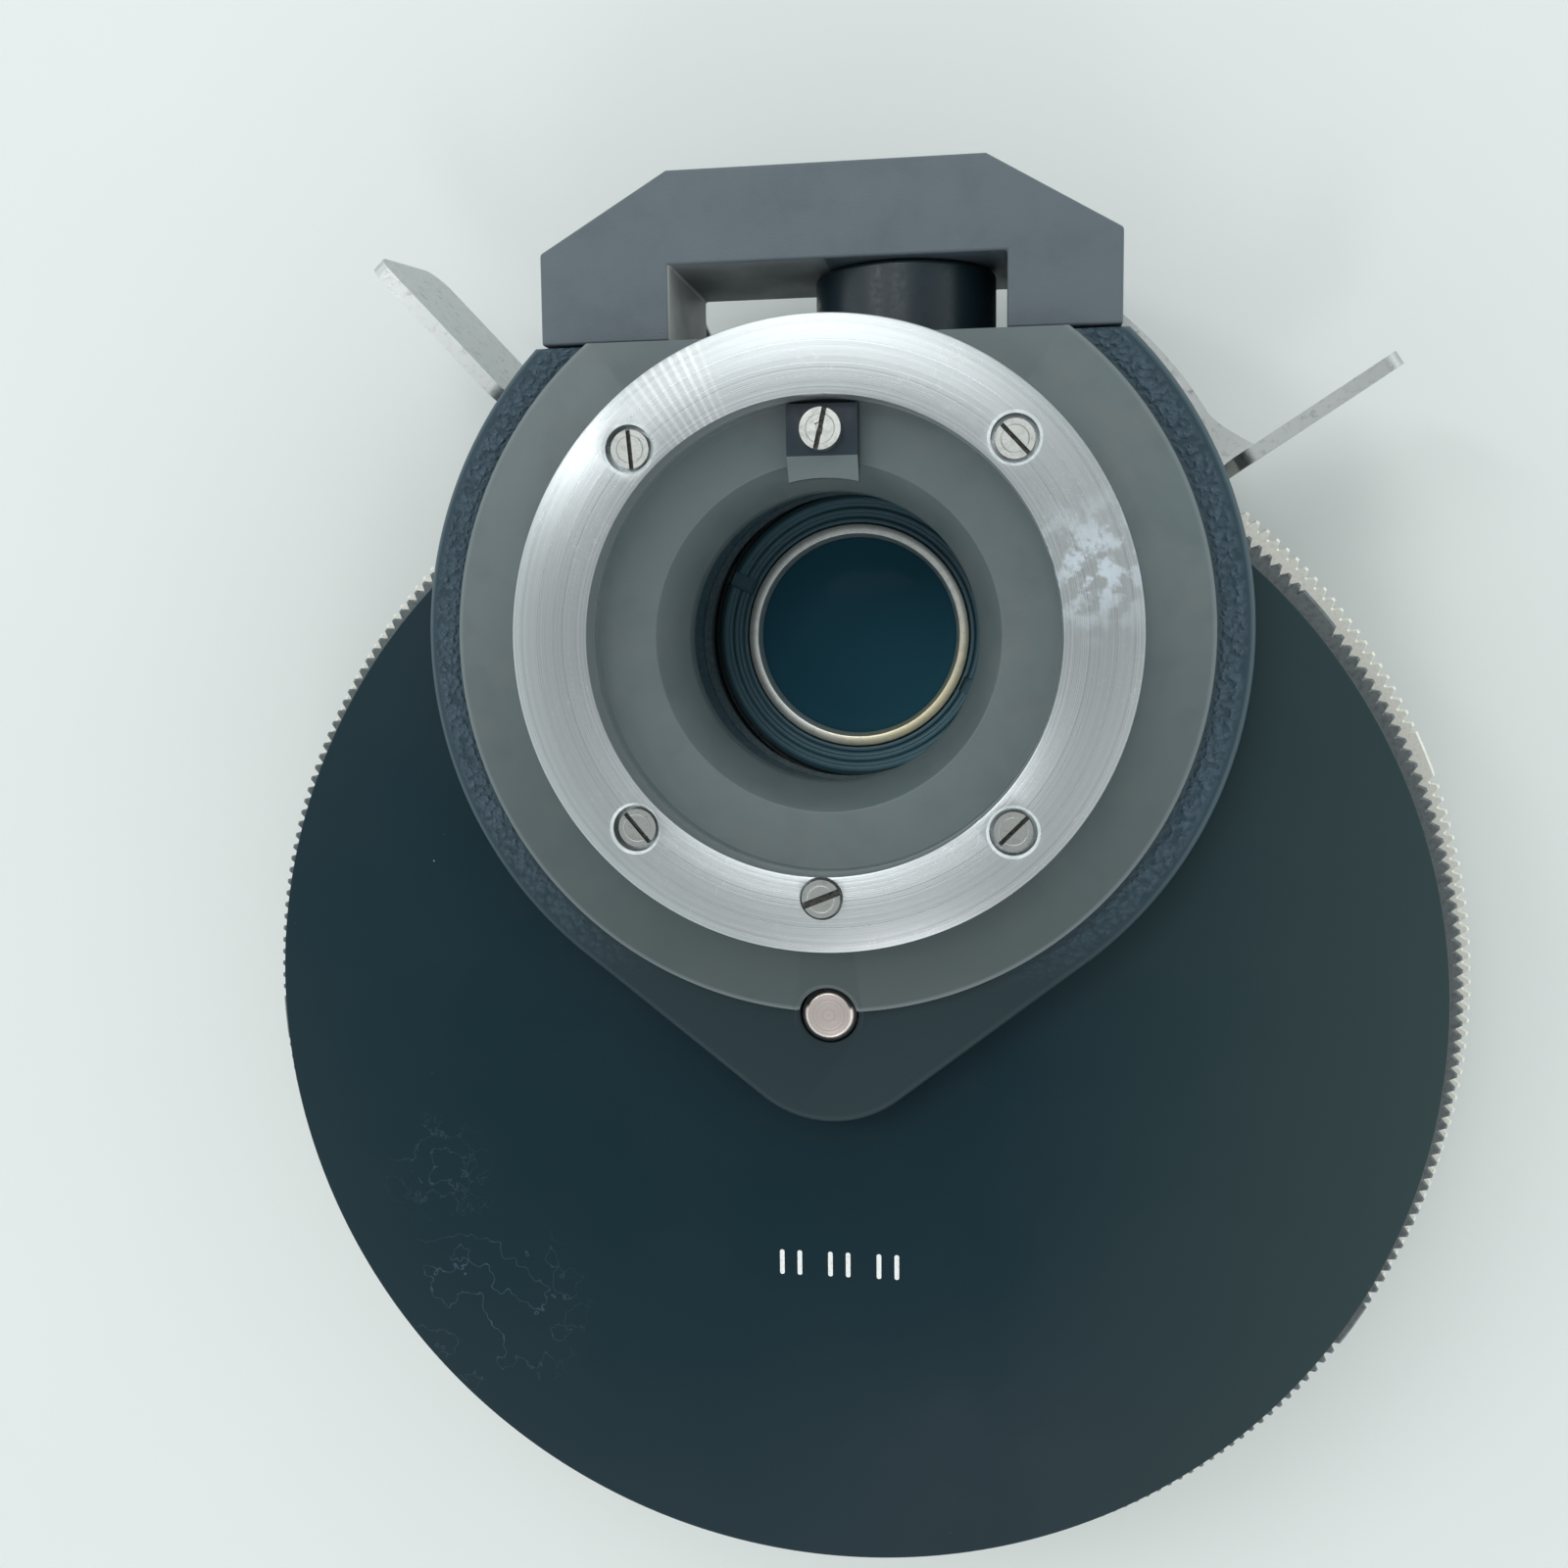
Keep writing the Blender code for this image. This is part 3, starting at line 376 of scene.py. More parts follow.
class Finish:
    """A Principled material with a few short ways to add procedural detail."""

    def __init__(self, name, colour, roughness, metallic=0.0, extra=None):
        self.material = bpy.data.materials.new(name)
        self.material.use_nodes = True
        self.tree = self.material.node_tree
        self.shader = self.tree.nodes["Principled BSDF"]
        self.colour = (*colour, 1.0)
        self.shader.inputs["Base Color"].default_value = self.colour
        self.shader.inputs["Roughness"].default_value = roughness
        self.shader.inputs["Metallic"].default_value = metallic
        for socket, value in (extra or {}).items():
            self.shader.inputs[socket].default_value = value

    def node(self, kind, **settings):
        made = self.tree.nodes.new(kind)
        for key, value in settings.items():
            setattr(made, key, value)
        return made

    def feed(self, socket, value):
        if isinstance(value, (int, float)):
            socket.default_value = value
        else:
            self.tree.links.new(value, socket)

    def position(self):
        return self.node("ShaderNodeTexCoord").outputs["Object"]

    def maths(self, operation, first, second=0.0):
        made = self.node("ShaderNodeMath", operation=operation)
        self.feed(made.inputs[0], first)
        self.feed(made.inputs[1], second)
        return made.outputs[0]

    def vector(self, operation, first, second):
        made = self.node("ShaderNodeVectorMath", operation=operation)
        self.feed(made.inputs[0], first)
        made.inputs[1].default_value = second
        return made.outputs

    def noise(self, size, detail=3.0, roughness=0.55, vector=None):
        """Noise whose features are about size millimetres across."""
        made = self.node("ShaderNodeTexNoise")
        made.inputs["Scale"].default_value = 1.0 / (size * MM)
        made.inputs["Detail"].default_value = detail
        made.inputs["Roughness"].default_value = roughness
        self.feed(made.inputs["Vector"], vector or self.position())
        return made.outputs["Fac"]

    def ramp(self, value, low, high, low_at=0.35, high_at=0.65):
        """A value drawn out between two levels."""
        made = self.node("ShaderNodeMapRange")
        for socket, level in (("From Min", low_at), ("From Max", high_at),
                              ("To Min", low), ("To Max", high)):
            made.inputs[socket].default_value = level
        self.feed(made.inputs["Value"], value)
        return made.outputs["Result"]

    def distance(self, axis):
        """Distance in metres from an upright axis."""
        level = self.vector("MULTIPLY", self.position(), (1.0, 1.0, 0.0))[0]
        return self.vector("DISTANCE", level, (axis.x * MM, axis.y * MM, 0.0))["Value"]

    def near(self, axis, full, none, most=1.0):
        """Highest within the full distance of an axis, falling to 0 at the none distance."""
        return self.ramp(self.distance(axis), most, 0.0, full * MM, none * MM)

    def beyond(self, axis, none, full, most=1.0):
        """0 within the none distance of an axis, rising to its highest at the full one."""
        return self.ramp(self.distance(axis), 0.0, most, none * MM, full * MM)

    def along(self, axis, low, high):
        """0 below the low place on an axis and 1 above the high one."""
        parts = self.node("ShaderNodeSeparateXYZ")
        self.feed(parts.inputs[0], self.position())
        return self.ramp(parts.outputs[axis], 0.0, 1.0, low * MM, high * MM)

    def circles(self, axis, size, detail=3.0):
        """Fine circles round an axis, as a lathe tool leaves them."""
        joined = self.node("ShaderNodeCombineXYZ")
        self.feed(joined.inputs["X"], self.distance(axis))
        return self.noise(size, detail, 0.7, joined.outputs[0])

    def hairlines(self, size, width=0.012, detail=2.0):
        """Thin wandering lines."""
        offset = self.maths("ABSOLUTE", self.maths("SUBTRACT", self.noise(size, detail), 0.5))
        return self.ramp(offset, 1.0, 0.0, width * 0.4, width)

    def dots(self, spacing, radius, share):
        """Small specks, one in a share of the cells of a grid."""
        cells = self.node("ShaderNodeTexVoronoi")
        cells.inputs["Scale"].default_value = 1.0 / (spacing * MM)
        self.feed(cells.inputs["Vector"], self.position())
        size = radius / spacing
        spot = self.ramp(cells.outputs["Distance"], 1.0, 0.0, size * 0.6, size)
        parts = self.node("ShaderNodeSeparateColor")
        self.feed(parts.inputs[0], cells.outputs["Color"])
        chosen = self.maths("GREATER_THAN", parts.outputs[0], 1.0 - share)
        return self.maths("MULTIPLY", spot, chosen)

    def tint(self, mask, colour):
        """Lays another colour over the base where the mask is high."""
        made = self.node("ShaderNodeMix", data_type="RGBA")
        base = self.shader.inputs["Base Color"]
        self.feed(made.inputs["Factor"], mask)
        if base.is_linked:
            self.feed(made.inputs[6], base.links[0].from_socket)
        else:
            made.inputs[6].default_value = self.colour
        made.inputs[7].default_value = (*colour, 1.0)
        self.feed(base, made.outputs[2])

    def vary_roughness(self, value, low, high, low_at=0.35, high_at=0.65):
        self.feed(self.shader.inputs["Roughness"], self.ramp(value, low, high, low_at, high_at))

    def bump(self, value, depth):
        """Adds relief, of the given depth, over any before it."""
        made = self.node("ShaderNodeBump")
        made.inputs["Distance"].default_value = depth * MM
        self.feed(made.inputs["Height"], value)
        normal = self.shader.inputs["Normal"]
        if normal.is_linked:
            self.feed(made.inputs["Normal"], normal.links[0].from_socket)
        self.feed(normal, made.outputs["Normal"])


def turned_steel():
    """Bright ring steel: circular tool marks, a few rubs, a dull smudge on one side and painted
    highlight streaks in one sector of its face.
    """
    steel = Finish("turned_steel", (0.60, 0.64, 0.65), 0.3, 1.0,
                   {"Anisotropic": 0.75, "Anisotropic Rotation": 0.25})
    tangent = steel.node("ShaderNodeTangent", direction_type="UV_MAP", uv_map="round")
    steel.feed(steel.shader.inputs["Tangent"], tangent.outputs[0])
    fine = steel.circles(LIGHT, 0.22, 5.0)
    coarse = steel.circles(LIGHT, 0.9, 3.0)
    steel.vary_roughness(fine, 0.22, 0.42)
    steel.tint(steel.ramp(coarse, 0.0, 0.4, 0.42, 0.62), (0.36, 0.40, 0.42))
    steel.tint(steel.ramp(fine, 0.0, 0.45, 0.5, 0.72), (0.86, 0.89, 0.90))
    steel.bump(fine, 0.035)
    smudge = LIGHT + Vector((31.5, 8.0))
    cloud = steel.ramp(steel.noise(2.6, 6.0, 0.65), 0.0, 0.85, 0.46, 0.56)
    patch = steel.near(smudge, 1.5, 9.5)
    smeared = steel.maths("MULTIPLY", patch, cloud)
    steel.tint(smeared, (0.62, 0.71, 0.78))
    steel.feed(steel.shader.inputs["Metallic"], steel.ramp(smeared, 1.0, 0.35, 0.0, 0.8))
    patches = steel.ramp(steel.noise(8.0), 0.0, 0.4, 0.5, 0.6)
    steel.tint(steel.maths("MULTIPLY", steel.hairlines(1.7, 0.010), patches), (0.85, 0.88, 0.90))
    # Painted highlight: fine bright radial streaks in one sector of the ring's face, standing in for
    # the sheen of its turning marks.
    around = steel.node("ShaderNodeSeparateXYZ")
    steel.feed(around.inputs[0], steel.node("ShaderNodeUVMap", uv_map="round").outputs[0])
    turn = around.outputs["X"]
    stripes = steel.maths("SINE", steel.maths("MULTIPLY", turn, 2 * math.pi * 190.0))
    rising = steel.ramp(turn, 0.0, 1.0, 0.306, 0.320)
    falling = steel.ramp(turn, 1.0, 0.0, 0.345, 0.362)
    face = steel.along("Z", TOP - 0.3, TOP - 0.2)
    sector = steel.maths("MULTIPLY", steel.maths("MULTIPLY", rising, falling), face)
    painted_highlight_streaks = steel.maths("MULTIPLY", steel.ramp(stripes, 0.0, 0.5, -0.2, 0.9), sector)
    steel.tint(painted_highlight_streaks, (0.90, 0.92, 0.93))
    return steel.material


def pin_steel():
    """The faced end of the axle: circles round its own centre, and a warm cast."""
    steel = Finish("pin_steel", (0.84, 0.74, 0.70), 0.3, 1.0)
    marks = steel.circles(TURRET, 0.3, 4.0)
    steel.vary_roughness(marks, 0.2, 0.42)
    steel.bump(marks, 0.02)
    steel.tint(steel.ramp(marks, 0.0, 0.5, 0.5, 0.7), (0.58, 0.50, 0.47))
    return steel.material


def screw_steel():
    """Screw heads: facing marks, a little stain and handling wear."""
    steel = Finish("screw_steel", (0.55, 0.57, 0.55), 0.33, 1.0)
    stain = steel.noise(0.9, 5.0, 0.65)
    steel.tint(steel.ramp(stain, 0.0, 0.5, 0.48, 0.68), (0.34, 0.35, 0.34))
    steel.vary_roughness(stain, 0.25, 0.42)
    steel.bump(steel.noise(0.2, 3.0), 0.006)
    return steel.material


def slot_shade_and_grime():
    """Painted shade and old dirt on the floor and walls of a driver slot."""
    shade_and_grime = Finish("slot_shade_and_grime", (0.050, 0.052, 0.050), 0.6, 0.4)
    shade_and_grime.tint(shade_and_grime.ramp(shade_and_grime.noise(0.4, 4.0), 0.0, 0.6), (0.20, 0.20, 0.18))
    return shade_and_grime.material


def stainless_sheet():
    """Rolled sheet, with the grain of its blanked edges."""
    sheet = Finish("stainless_sheet", (0.52, 0.545, 0.54), 0.36, 1.0)
    grain = sheet.noise(0.3, 5.0, 0.7)
    sheet.vary_roughness(grain, 0.28, 0.5)
    pits = sheet.noise(1.3, 6.0, 0.7)
    sheet.tint(sheet.ramp(pits, 0.0, 0.7, 0.54, 0.68), (0.26, 0.28, 0.28))
    sheet.bump(grain, 0.03)
    return sheet.material


def collar_grey():
    """Smooth matt grey with faint turning marks, rubbed patches, painted shade towards the front and
    a painted highlight along its outer edge.
    """
    grey = Finish("collar_grey", (0.112, 0.146, 0.152), 0.46)
    marks = grey.circles(LIGHT, 0.5, 3.0)
    grey.bump(marks, 0.008)
    rubbed = grey.noise(8.0, 6.0, 0.62)
    grey.vary_roughness(rubbed, 0.36, 0.52)
    grey.tint(grey.ramp(rubbed, 0.0, 0.5, 0.5, 0.7), (0.150, 0.160, 0.158))
    grey.tint(grey.ramp(grey.noise(5.0, 4.0), 0.0, 0.4, 0.5, 0.7), (0.085, 0.112, 0.122))
    # Painted shade: the outer band of the collar darker towards the front.
    outer = grey.beyond(LIGHT, 36.8, 37.6, 0.85)
    front = grey.along("Y", LIGHT.y + 8.0, LIGHT.y - 40.0)
    grey.tint(grey.maths("MULTIPLY", outer, front), (0.046, 0.066, 0.068))
    # Painted highlight: a pale line along the collar's outer edge.
    edge = grey.beyond(LIGHT, 45.1, 45.4, 0.55)
    grey.tint(edge, (0.175, 0.215, 0.225))
    grey.tint(grey.dots(5.0, 0.09, 0.3), (0.40, 0.45, 0.46))
    return grey.material


def crinkle_paint():
    """Crinkle enamel on the housing's face, fading to plain paint at its edges and tip, with a
    painted sheen on its sides and painted highlights on its lumps, rim and lip.
    """
    paint = Finish("crinkle_paint", (0.0095, 0.0270, 0.0345), 0.44, 0.0,
                   {"Specular IOR Level": 0.3})
    warp = paint.node("ShaderNodeVectorMath", operation="MULTIPLY_ADD")
    swirl = paint.node("ShaderNodeTexNoise")
    swirl.inputs["Scale"].default_value = 1.0 / (0.9 * MM)
    paint.feed(swirl.inputs["Vector"], paint.position())
    paint.feed(warp.inputs[0], swirl.outputs["Color"])
    warp.inputs[1].default_value = (0.0011, 0.0011, 0.0011)
    paint.feed(warp.inputs[2], paint.position())
    cells = paint.node("ShaderNodeTexVoronoi", feature="SMOOTH_F1")
    cells.inputs["Scale"].default_value = 1.0 / (0.72 * MM)
    cells.inputs["Smoothness"].default_value = 0.6
    paint.feed(cells.inputs["Vector"], warp.outputs[0])
    lumps = paint.ramp(cells.outputs["Distance"], 1.0, 0.0, 0.12, 0.75)
    outside = paint.beyond(LIGHT, 46.0, 46.8)
    inside = paint.near(LIGHT, 48.8, 49.4)
    sides = paint.along("Y", LIGHT.y - 42.0, LIGHT.y - 22.0)
    band = paint.maths("MULTIPLY", paint.maths("MULTIPLY", outside, inside), sides)
    relief = paint.maths("MULTIPLY", lumps, band)
    paint.bump(relief, 0.50)
    paint.bump(paint.noise(0.30, 3.0), 0.02)
    # Painted sheen: the sides lighter than the tip, standing in for the highlights on the crinkle.
    paint.tint(paint.maths("MULTIPLY", sides, 0.8), (0.020, 0.046, 0.066))
    # Painted highlight: the tops of the crinkle lumps lighter.
    paint.tint(paint.maths("MULTIPLY", relief, 0.9), (0.066, 0.108, 0.146))
    # Painted highlight: a pale line along the housing's outer edge.
    lit_edge = paint.along("Z", HOUSING_UNDER + 4.2, HOUSING_UNDER + 4.5)
    rim = paint.maths("MULTIPLY", paint.beyond(LIGHT, 49.5, 49.9, 0.6), sides)
    paint.tint(paint.maths("MULTIPLY", rim, lit_edge), (0.085, 0.125, 0.145))
    # Painted highlight: a pale line along the inner edge of the painted band.
    lip_highlight = paint.near(LIGHT, 46.1, 46.4, 0.7)
    paint.tint(paint.maths("MULTIPLY", lip_highlight, sides), (0.060, 0.088, 0.100))
    paint.tint(paint.dots(3.4, 0.10, 0.22), (0.26, 0.30, 0.31))
    paint.vary_roughness(relief, 0.50, 0.38, 0.0, 1.0)
    return paint.material


def cover_black():
    """Smooth satin black with hairline rubs, dust and a painted sheen on its right side."""
    black = Finish("cover_black", (0.0046, 0.0220, 0.0315), 0.42, 0.0,
                   {"Specular IOR Level": 0.16})
    haze = black.noise(16.0, 6.0, 0.6)
    black.vary_roughness(haze, 0.36, 0.46)
    black.tint(black.ramp(haze, 0.0, 0.5, 0.5, 0.75), (0.0068, 0.0245, 0.0320))
    # Painted sheen: the cover lighter towards its right side, standing in for a satin reflection.
    right_side_sheen = black.maths("MULTIPLY", black.along("X", 20.0, 74.0), 0.8)
    black.tint(right_side_sheen, (0.033, 0.055, 0.056))
    black.bump(black.noise(0.18, 2.0), 0.003)
    rub = TURRET + Vector((-47.0, -42.0))
    lint = black.maths("MULTIPLY", black.hairlines(6.0, 0.006, 3.0),
                       black.near(rub, 3.0, 15.0))
    black.tint(black.maths("MULTIPLY", lint, 0.55), (0.10, 0.14, 0.19))
    scuff = TURRET + Vector((-54.0, -24.0))
    more = black.maths("MULTIPLY", black.hairlines(4.0, 0.008, 4.0),
                       black.near(scuff, 1.0, 9.0))
    black.tint(black.maths("MULTIPLY", more, 0.4), (0.09, 0.12, 0.16))
    black.tint(black.dots(7.5, 0.13, 0.30), (0.24, 0.28, 0.29))
    black.tint(black.dots(3.0, 0.07, 0.20), (0.09, 0.12, 0.13))
    return black.material


def wheel_metal(name, colour, dull, roughness, metallic):
    """Knurled wheel metal with a little grime, darkened by painted shade under the cover."""
    metal = Finish(name, colour, roughness, metallic)
    grain = metal.noise(0.7, 5.0, 0.6)
    metal.tint(metal.ramp(grain, 0.0, 0.6, 0.45, 0.66), dull)
    metal.vary_roughness(grain, roughness - 0.08, roughness + 0.1)
    metal.bump(metal.noise(0.2, 2.0), 0.012)
    # Painted shade: the wheel darkened where the cover hangs over it, pocket walls included.
    shaded_under_cover = metal.near(TURRET, 73.5, 74.2)
    metal.tint(shaded_under_cover, (0.055, 0.125, 0.16))
    return metal.material


def bracket_grey():
    """Fine matt grey enamel with a scuff or two, small pale specks and painted light on the window's
    left wall.
    """
    grey = Finish("bracket_grey", (0.090, 0.118, 0.140), 0.5)
    grey.bump(grey.noise(0.3, 4.0), 0.03)
    wear = grey.noise(6.0, 6.0, 0.65)
    grey.vary_roughness(wear, 0.38, 0.54)
    grey.tint(grey.ramp(wear, 0.0, 0.5, 0.5, 0.74), (0.076, 0.100, 0.118))
    grey.tint(grey.dots(9.0, 0.28, 0.16), (0.26, 0.32, 0.36))
    # Painted light: the left wall of the window lighter, standing in for light bounced up from the
    # floor.
    wall = grey.along("X", -19.0, -18.85)
    inside = grey.along("Y", LIGHT.y + 44.85, LIGHT.y + 44.75)
    window = grey.maths("MULTIPLY", wall, inside)
    left_half = grey.along("X", 0.0, -0.1)
    grey.tint(grey.maths("MULTIPLY", window, left_half), (0.42, 0.44, 0.43))
    return grey.material


def plain_black(name, colour, roughness, metallic=0.0, grain_depth=0.01):
    """Black finish with a fine grain, for the dark inner pieces and the post."""
    black = Finish(name, colour, roughness, metallic)
    grain = black.noise(0.6, 4.0)
    black.vary_roughness(grain, roughness - 0.06, roughness + 0.08)
    black.bump(grain, grain_depth)
    black.tint(black.ramp(black.noise(4.0, 4.0), 0.0, 0.4, 0.5, 0.7),
               tuple(min(1.0, part * 1.5) for part in colour))
    return black.material


def bore_black():
    """Blackened lens cell: painted light makes its upper part blue-grey, plain black underneath."""
    black = Finish("bore_black", (0.013, 0.030, 0.040), 0.36)
    grain = black.noise(0.6, 4.0)
    black.vary_roughness(grain, 0.30, 0.44)
    black.bump(grain, 0.01)
    # Painted light: the cell lighter above the lens seat than below it.
    black.tint(black.along("Z", TOP - 45.5, TOP - 44.0), (0.095, 0.22, 0.275))
    return black.material


def lens_ring_metal():
    """Nickelled brass, rubbed through to a warm tone on one side."""
    metal = Finish("nickelled_brass", (0.93, 0.96, 0.92), 0.3, 0.65)
    facing = metal.vector("DOT_PRODUCT", metal.position(), (0.64, -0.77, 0.0))["Value"]
    axis_place = LIGHT.x * 0.64 - LIGHT.y * 0.77
    warm = metal.ramp(facing, 0.0, 0.9, (axis_place + 4.0) * MM, (axis_place + 14.5) * MM)
    metal.tint(warm, (0.95, 0.86, 0.55))
    stain = metal.noise(1.2, 5.0, 0.65)
    metal.tint(metal.ramp(stain, 0.0, 0.4, 0.5, 0.66), (0.60, 0.62, 0.58))
    metal.bump(metal.circles(LIGHT, 0.2, 3.0), 0.01)
    return metal.material


def lens_glass():
    """Coated glass over a blackened cell: dark, with a cold cast and a speck of dust."""
    glass = Finish("optical_glass", (0.034, 0.130, 0.190), 0.05, 0.0,
                   {"Specular IOR Level": 0.012})
    glass.vary_roughness(glass.noise(3.0, 4.0), 0.04, 0.12)
    glass.tint(glass.dots(2.6, 0.08, 0.25), (0.09, 0.20, 0.24))
    return glass.material


def dark_glass():
    """The lens's rear face: clear polish over a dark interior."""
    glass = Finish("rear_glass", (0.006, 0.014, 0.018), 0.04)
    glass.vary_roughness(glass.noise(3.0, 4.0), 0.03, 0.10)
    glass.tint(glass.dots(2.6, 0.08, 0.25), (0.06, 0.08, 0.09))
    return glass.material


def white_fill():
    """White paint filled into the engraved marks."""
    paint = Finish("white_fill", (0.86, 0.88, 0.86), 0.6)
    paint.tint(paint.ramp(paint.noise(0.4, 4.0), 0.0, 0.6, 0.52, 0.7), (0.50, 0.55, 0.56))
    return paint.material


STEEL = turned_steel()
PIN_STEEL = pin_steel()
SCREW = screw_steel()
SLOT_SHADE_AND_GRIME = slot_shade_and_grime()
STAINLESS = stainless_sheet()
COLLAR = collar_grey()
CRINKLE = crinkle_paint()
COVER = cover_black()
DARK_WHEEL = wheel_metal("wheel_dark", (0.15, 0.17, 0.175), (0.07, 0.08, 0.085), 0.42, 0.6)
LIGHT_WHEEL = wheel_metal("wheel_light", (0.84, 0.84, 0.77), (0.62, 0.62, 0.55), 0.36, 0.75)
BRACKET = bracket_grey()
BLUED = plain_black("blued_block", (0.0095, 0.022, 0.034), 0.40)
BLACK = plain_black("black_anodised", (0.013, 0.033, 0.043), 0.42)
BORE_BLACK = bore_black()
GLOSS = plain_black("post_black", (0.0075, 0.020, 0.028), 0.34, 0.0, 0.001)
BLADE = plain_black("blade_steel", (0.03, 0.032, 0.035), 0.4, 0.7)
NICKEL = lens_ring_metal()
GLASS = lens_glass()
REAR_GLASS = dark_glass()
WHITE = white_fill()


# --- Change ring, its screws and the key ---

def add_round_uv(obj, axis):
    """A UV map that runs round the axis, which the turned steel's sheen follows."""
    layer = obj.data.uv_layers.new(name="round")
    centre = Vector((*(axis * MM), 0.0))
    for polygon in obj.data.polygons:
        middle_of = polygon.center - centre
        facing = math.atan2(middle_of.y, middle_of.x)
        for loop in polygon.loop_indices:
            spot = obj.data.vertices[obj.data.loops[loop].vertex_index].co - centre
            angle = math.atan2(spot.y, spot.x)
            angle += 2 * math.pi * round((facing - angle) / (2 * math.pi))
            outwards = (spot.xy.length + spot.z) / (RING_R * MM)
            layer.data[loop].uv = (angle / (2 * math.pi), outwards)


def make_change_ring():
    bottom = low_z("change_ring")
    profile = [(RING_BORE_R, bottom), (RING_BORE_R, TOP), (RING_R, TOP), (RING_R, bottom)]
    ring = turned("bright_change_ring", profile, LIGHT, 256, 0.35)
    floor, through = TOP - SEAT_DEPTH, TOP - 6.0
    bowl = [(0.0, TOP + 1.0), (SEAT_RIM_R, TOP + 1.0), (SEAT_RIM_R, TOP), (SEAT_R, TOP - 0.3),
            (SEAT_R, floor), (SCREW_HOLE_R, floor), (SCREW_HOLE_R, through), (0.0, through)]
    seats = [turned(f"screw_seat_{i}", bowl, spot, 56, 0.0, False)
             for i, spot in enumerate(ring_screw_spots())]
    floor = TOP - STOP_SEAT_DEPTH
    stop = [(0.0, TOP + 1.0), (STOP_SEAT_R, TOP + 1.0), (STOP_SEAT_R, floor),
            (SCREW_HOLE_R, floor), (SCREW_HOLE_R, through), (0.0, through)]
    seats.append(turned("stop_seat", stop, LIGHT + STOP_SCREW, 56, 0.0, False))
    combine(ring, seats)
    add_round_uv(ring, LIGHT)
    dress(ring, STEEL, "frame", "change_ring", slot="turned_steel")


def shade_and_grime_slot(screw, spot, slot_angle, slot_width, reach, levels):
    """Gives the walls and floor of a driver slot their own finish of painted shade and dirt."""
    screw.data.materials.append(SLOT_SHADE_AND_GRIME)
    across = polar(1.0, slot_angle + 90)
    for polygon in screw.data.polygons:
        place = polygon.center / MM
        within = place.xy - spot
        in_slot = abs(within.dot(across)) < slot_width / 2 + 0.03 and within.length < reach
        if in_slot and levels[0] < place.z < levels[1]:
            polygon.material_index = 1


def cheese_screw(name, node, slot_angle, slot_width=0.52, chewed=False):
    """A cheese head screw: eased rim, a shallow turned circle, a driver slot and a shank."""
    spot = middle(node).xy
    radius = half_width(node)
    top, bottom = high_z(node), low_z(node)
    under = top - HEAD_HEIGHT
    profile = [(0.0, top), (radius * 0.66, top), (radius * 0.70, top - 0.07),
               (radius * 0.74, top), (radius, top), (radius, under),
               (radius * 0.53, under), (radius * 0.53, bottom), (0.0, bottom)]
    screw = turned(name, profile, spot, 64, 0.0, False)
    rim = [(radius - 0.22, top + 0.4), (radius + 0.6, top + 0.4), (radius + 0.6, top - 0.42)]
    cutters = [turned(name + "_rim", rim, spot, 64, 0.0),
               bar(name + "_slot", 2 * radius + 2, slot_width, slot_angle, top - SLOT_DEPTH,
                   top + 1.0, spot)]
    if chewed:
        cutters.append(bar(name + "_chew", 1.5, 0.75, slot_angle + 35, top - 0.45, top + 1.0, spot))
    combine(screw, cutters)
    dress(screw, SCREW, "frame", node, slot="screw_steel")
    shade_and_grime_slot(screw, spot, slot_angle, slot_width, radius - 0.02,
               (top - SLOT_DEPTH - 0.05, top - 0.03))


def make_screws():
    for i, angle in enumerate((-47.0, 95.0, -50.0, 45.0), 1):
        cheese_screw(f"ring_cap_screw_{i}", f"ring_screw_{i}", angle)
    cheese_screw("raised_stop_screw", "stop_screw", 22.0, 0.8)
    cheese_screw("key_cap_screw", "key_screw", 77.0, 0.6, chewed=True)


def make_key():
    """The key stands on the annulus; its nose is bevelled and hollowed to a circle."""
    low, high = low_z("key_block"), high_z("key_block")
    half = half_width("key_block")
    side = Plan(Vector((0.0, 0.0)))
    side.corners((KEY_BACK, low), (KEY_BACK, high), (21.5, high), (18.0, TOP - 5.6), (18.0, low))
    bm = side.drawn(-half, half)
    upright = Matrix(((0, 0, 1, LIGHT.x * MM), (1, 0, 0, LIGHT.y * MM), (0, 1, 0, 0), (0, 0, 0, 1)))
    bmesh.ops.transform(bm, matrix=upright, verts=bm.verts)
    block = as_object("locating_key", bm)
    nose = drum("key_nose", KEY_NOSE_R, low - 1, high + 1, LIGHT, 200)
    hole = drum("key_drill", KEY_HOLE_R, low - 1, high + 1, LIGHT + KEY_SCREW, 32)
    combine(block, [nose, hole])
    ease_edges(block, 0.14)
    dress(block, BLUED, "frame", "key_block", slot="blued_block")
    block.data.materials.append(COLLAR)
    for polygon in block.data.polygons:
        sloping = 0.2 < polygon.normal.z < 0.97
        if sloping and polygon.center.y / MM < LIGHT.y + 21.5:
            polygon.material_index = 1


# --- Collar, housing and cover ---

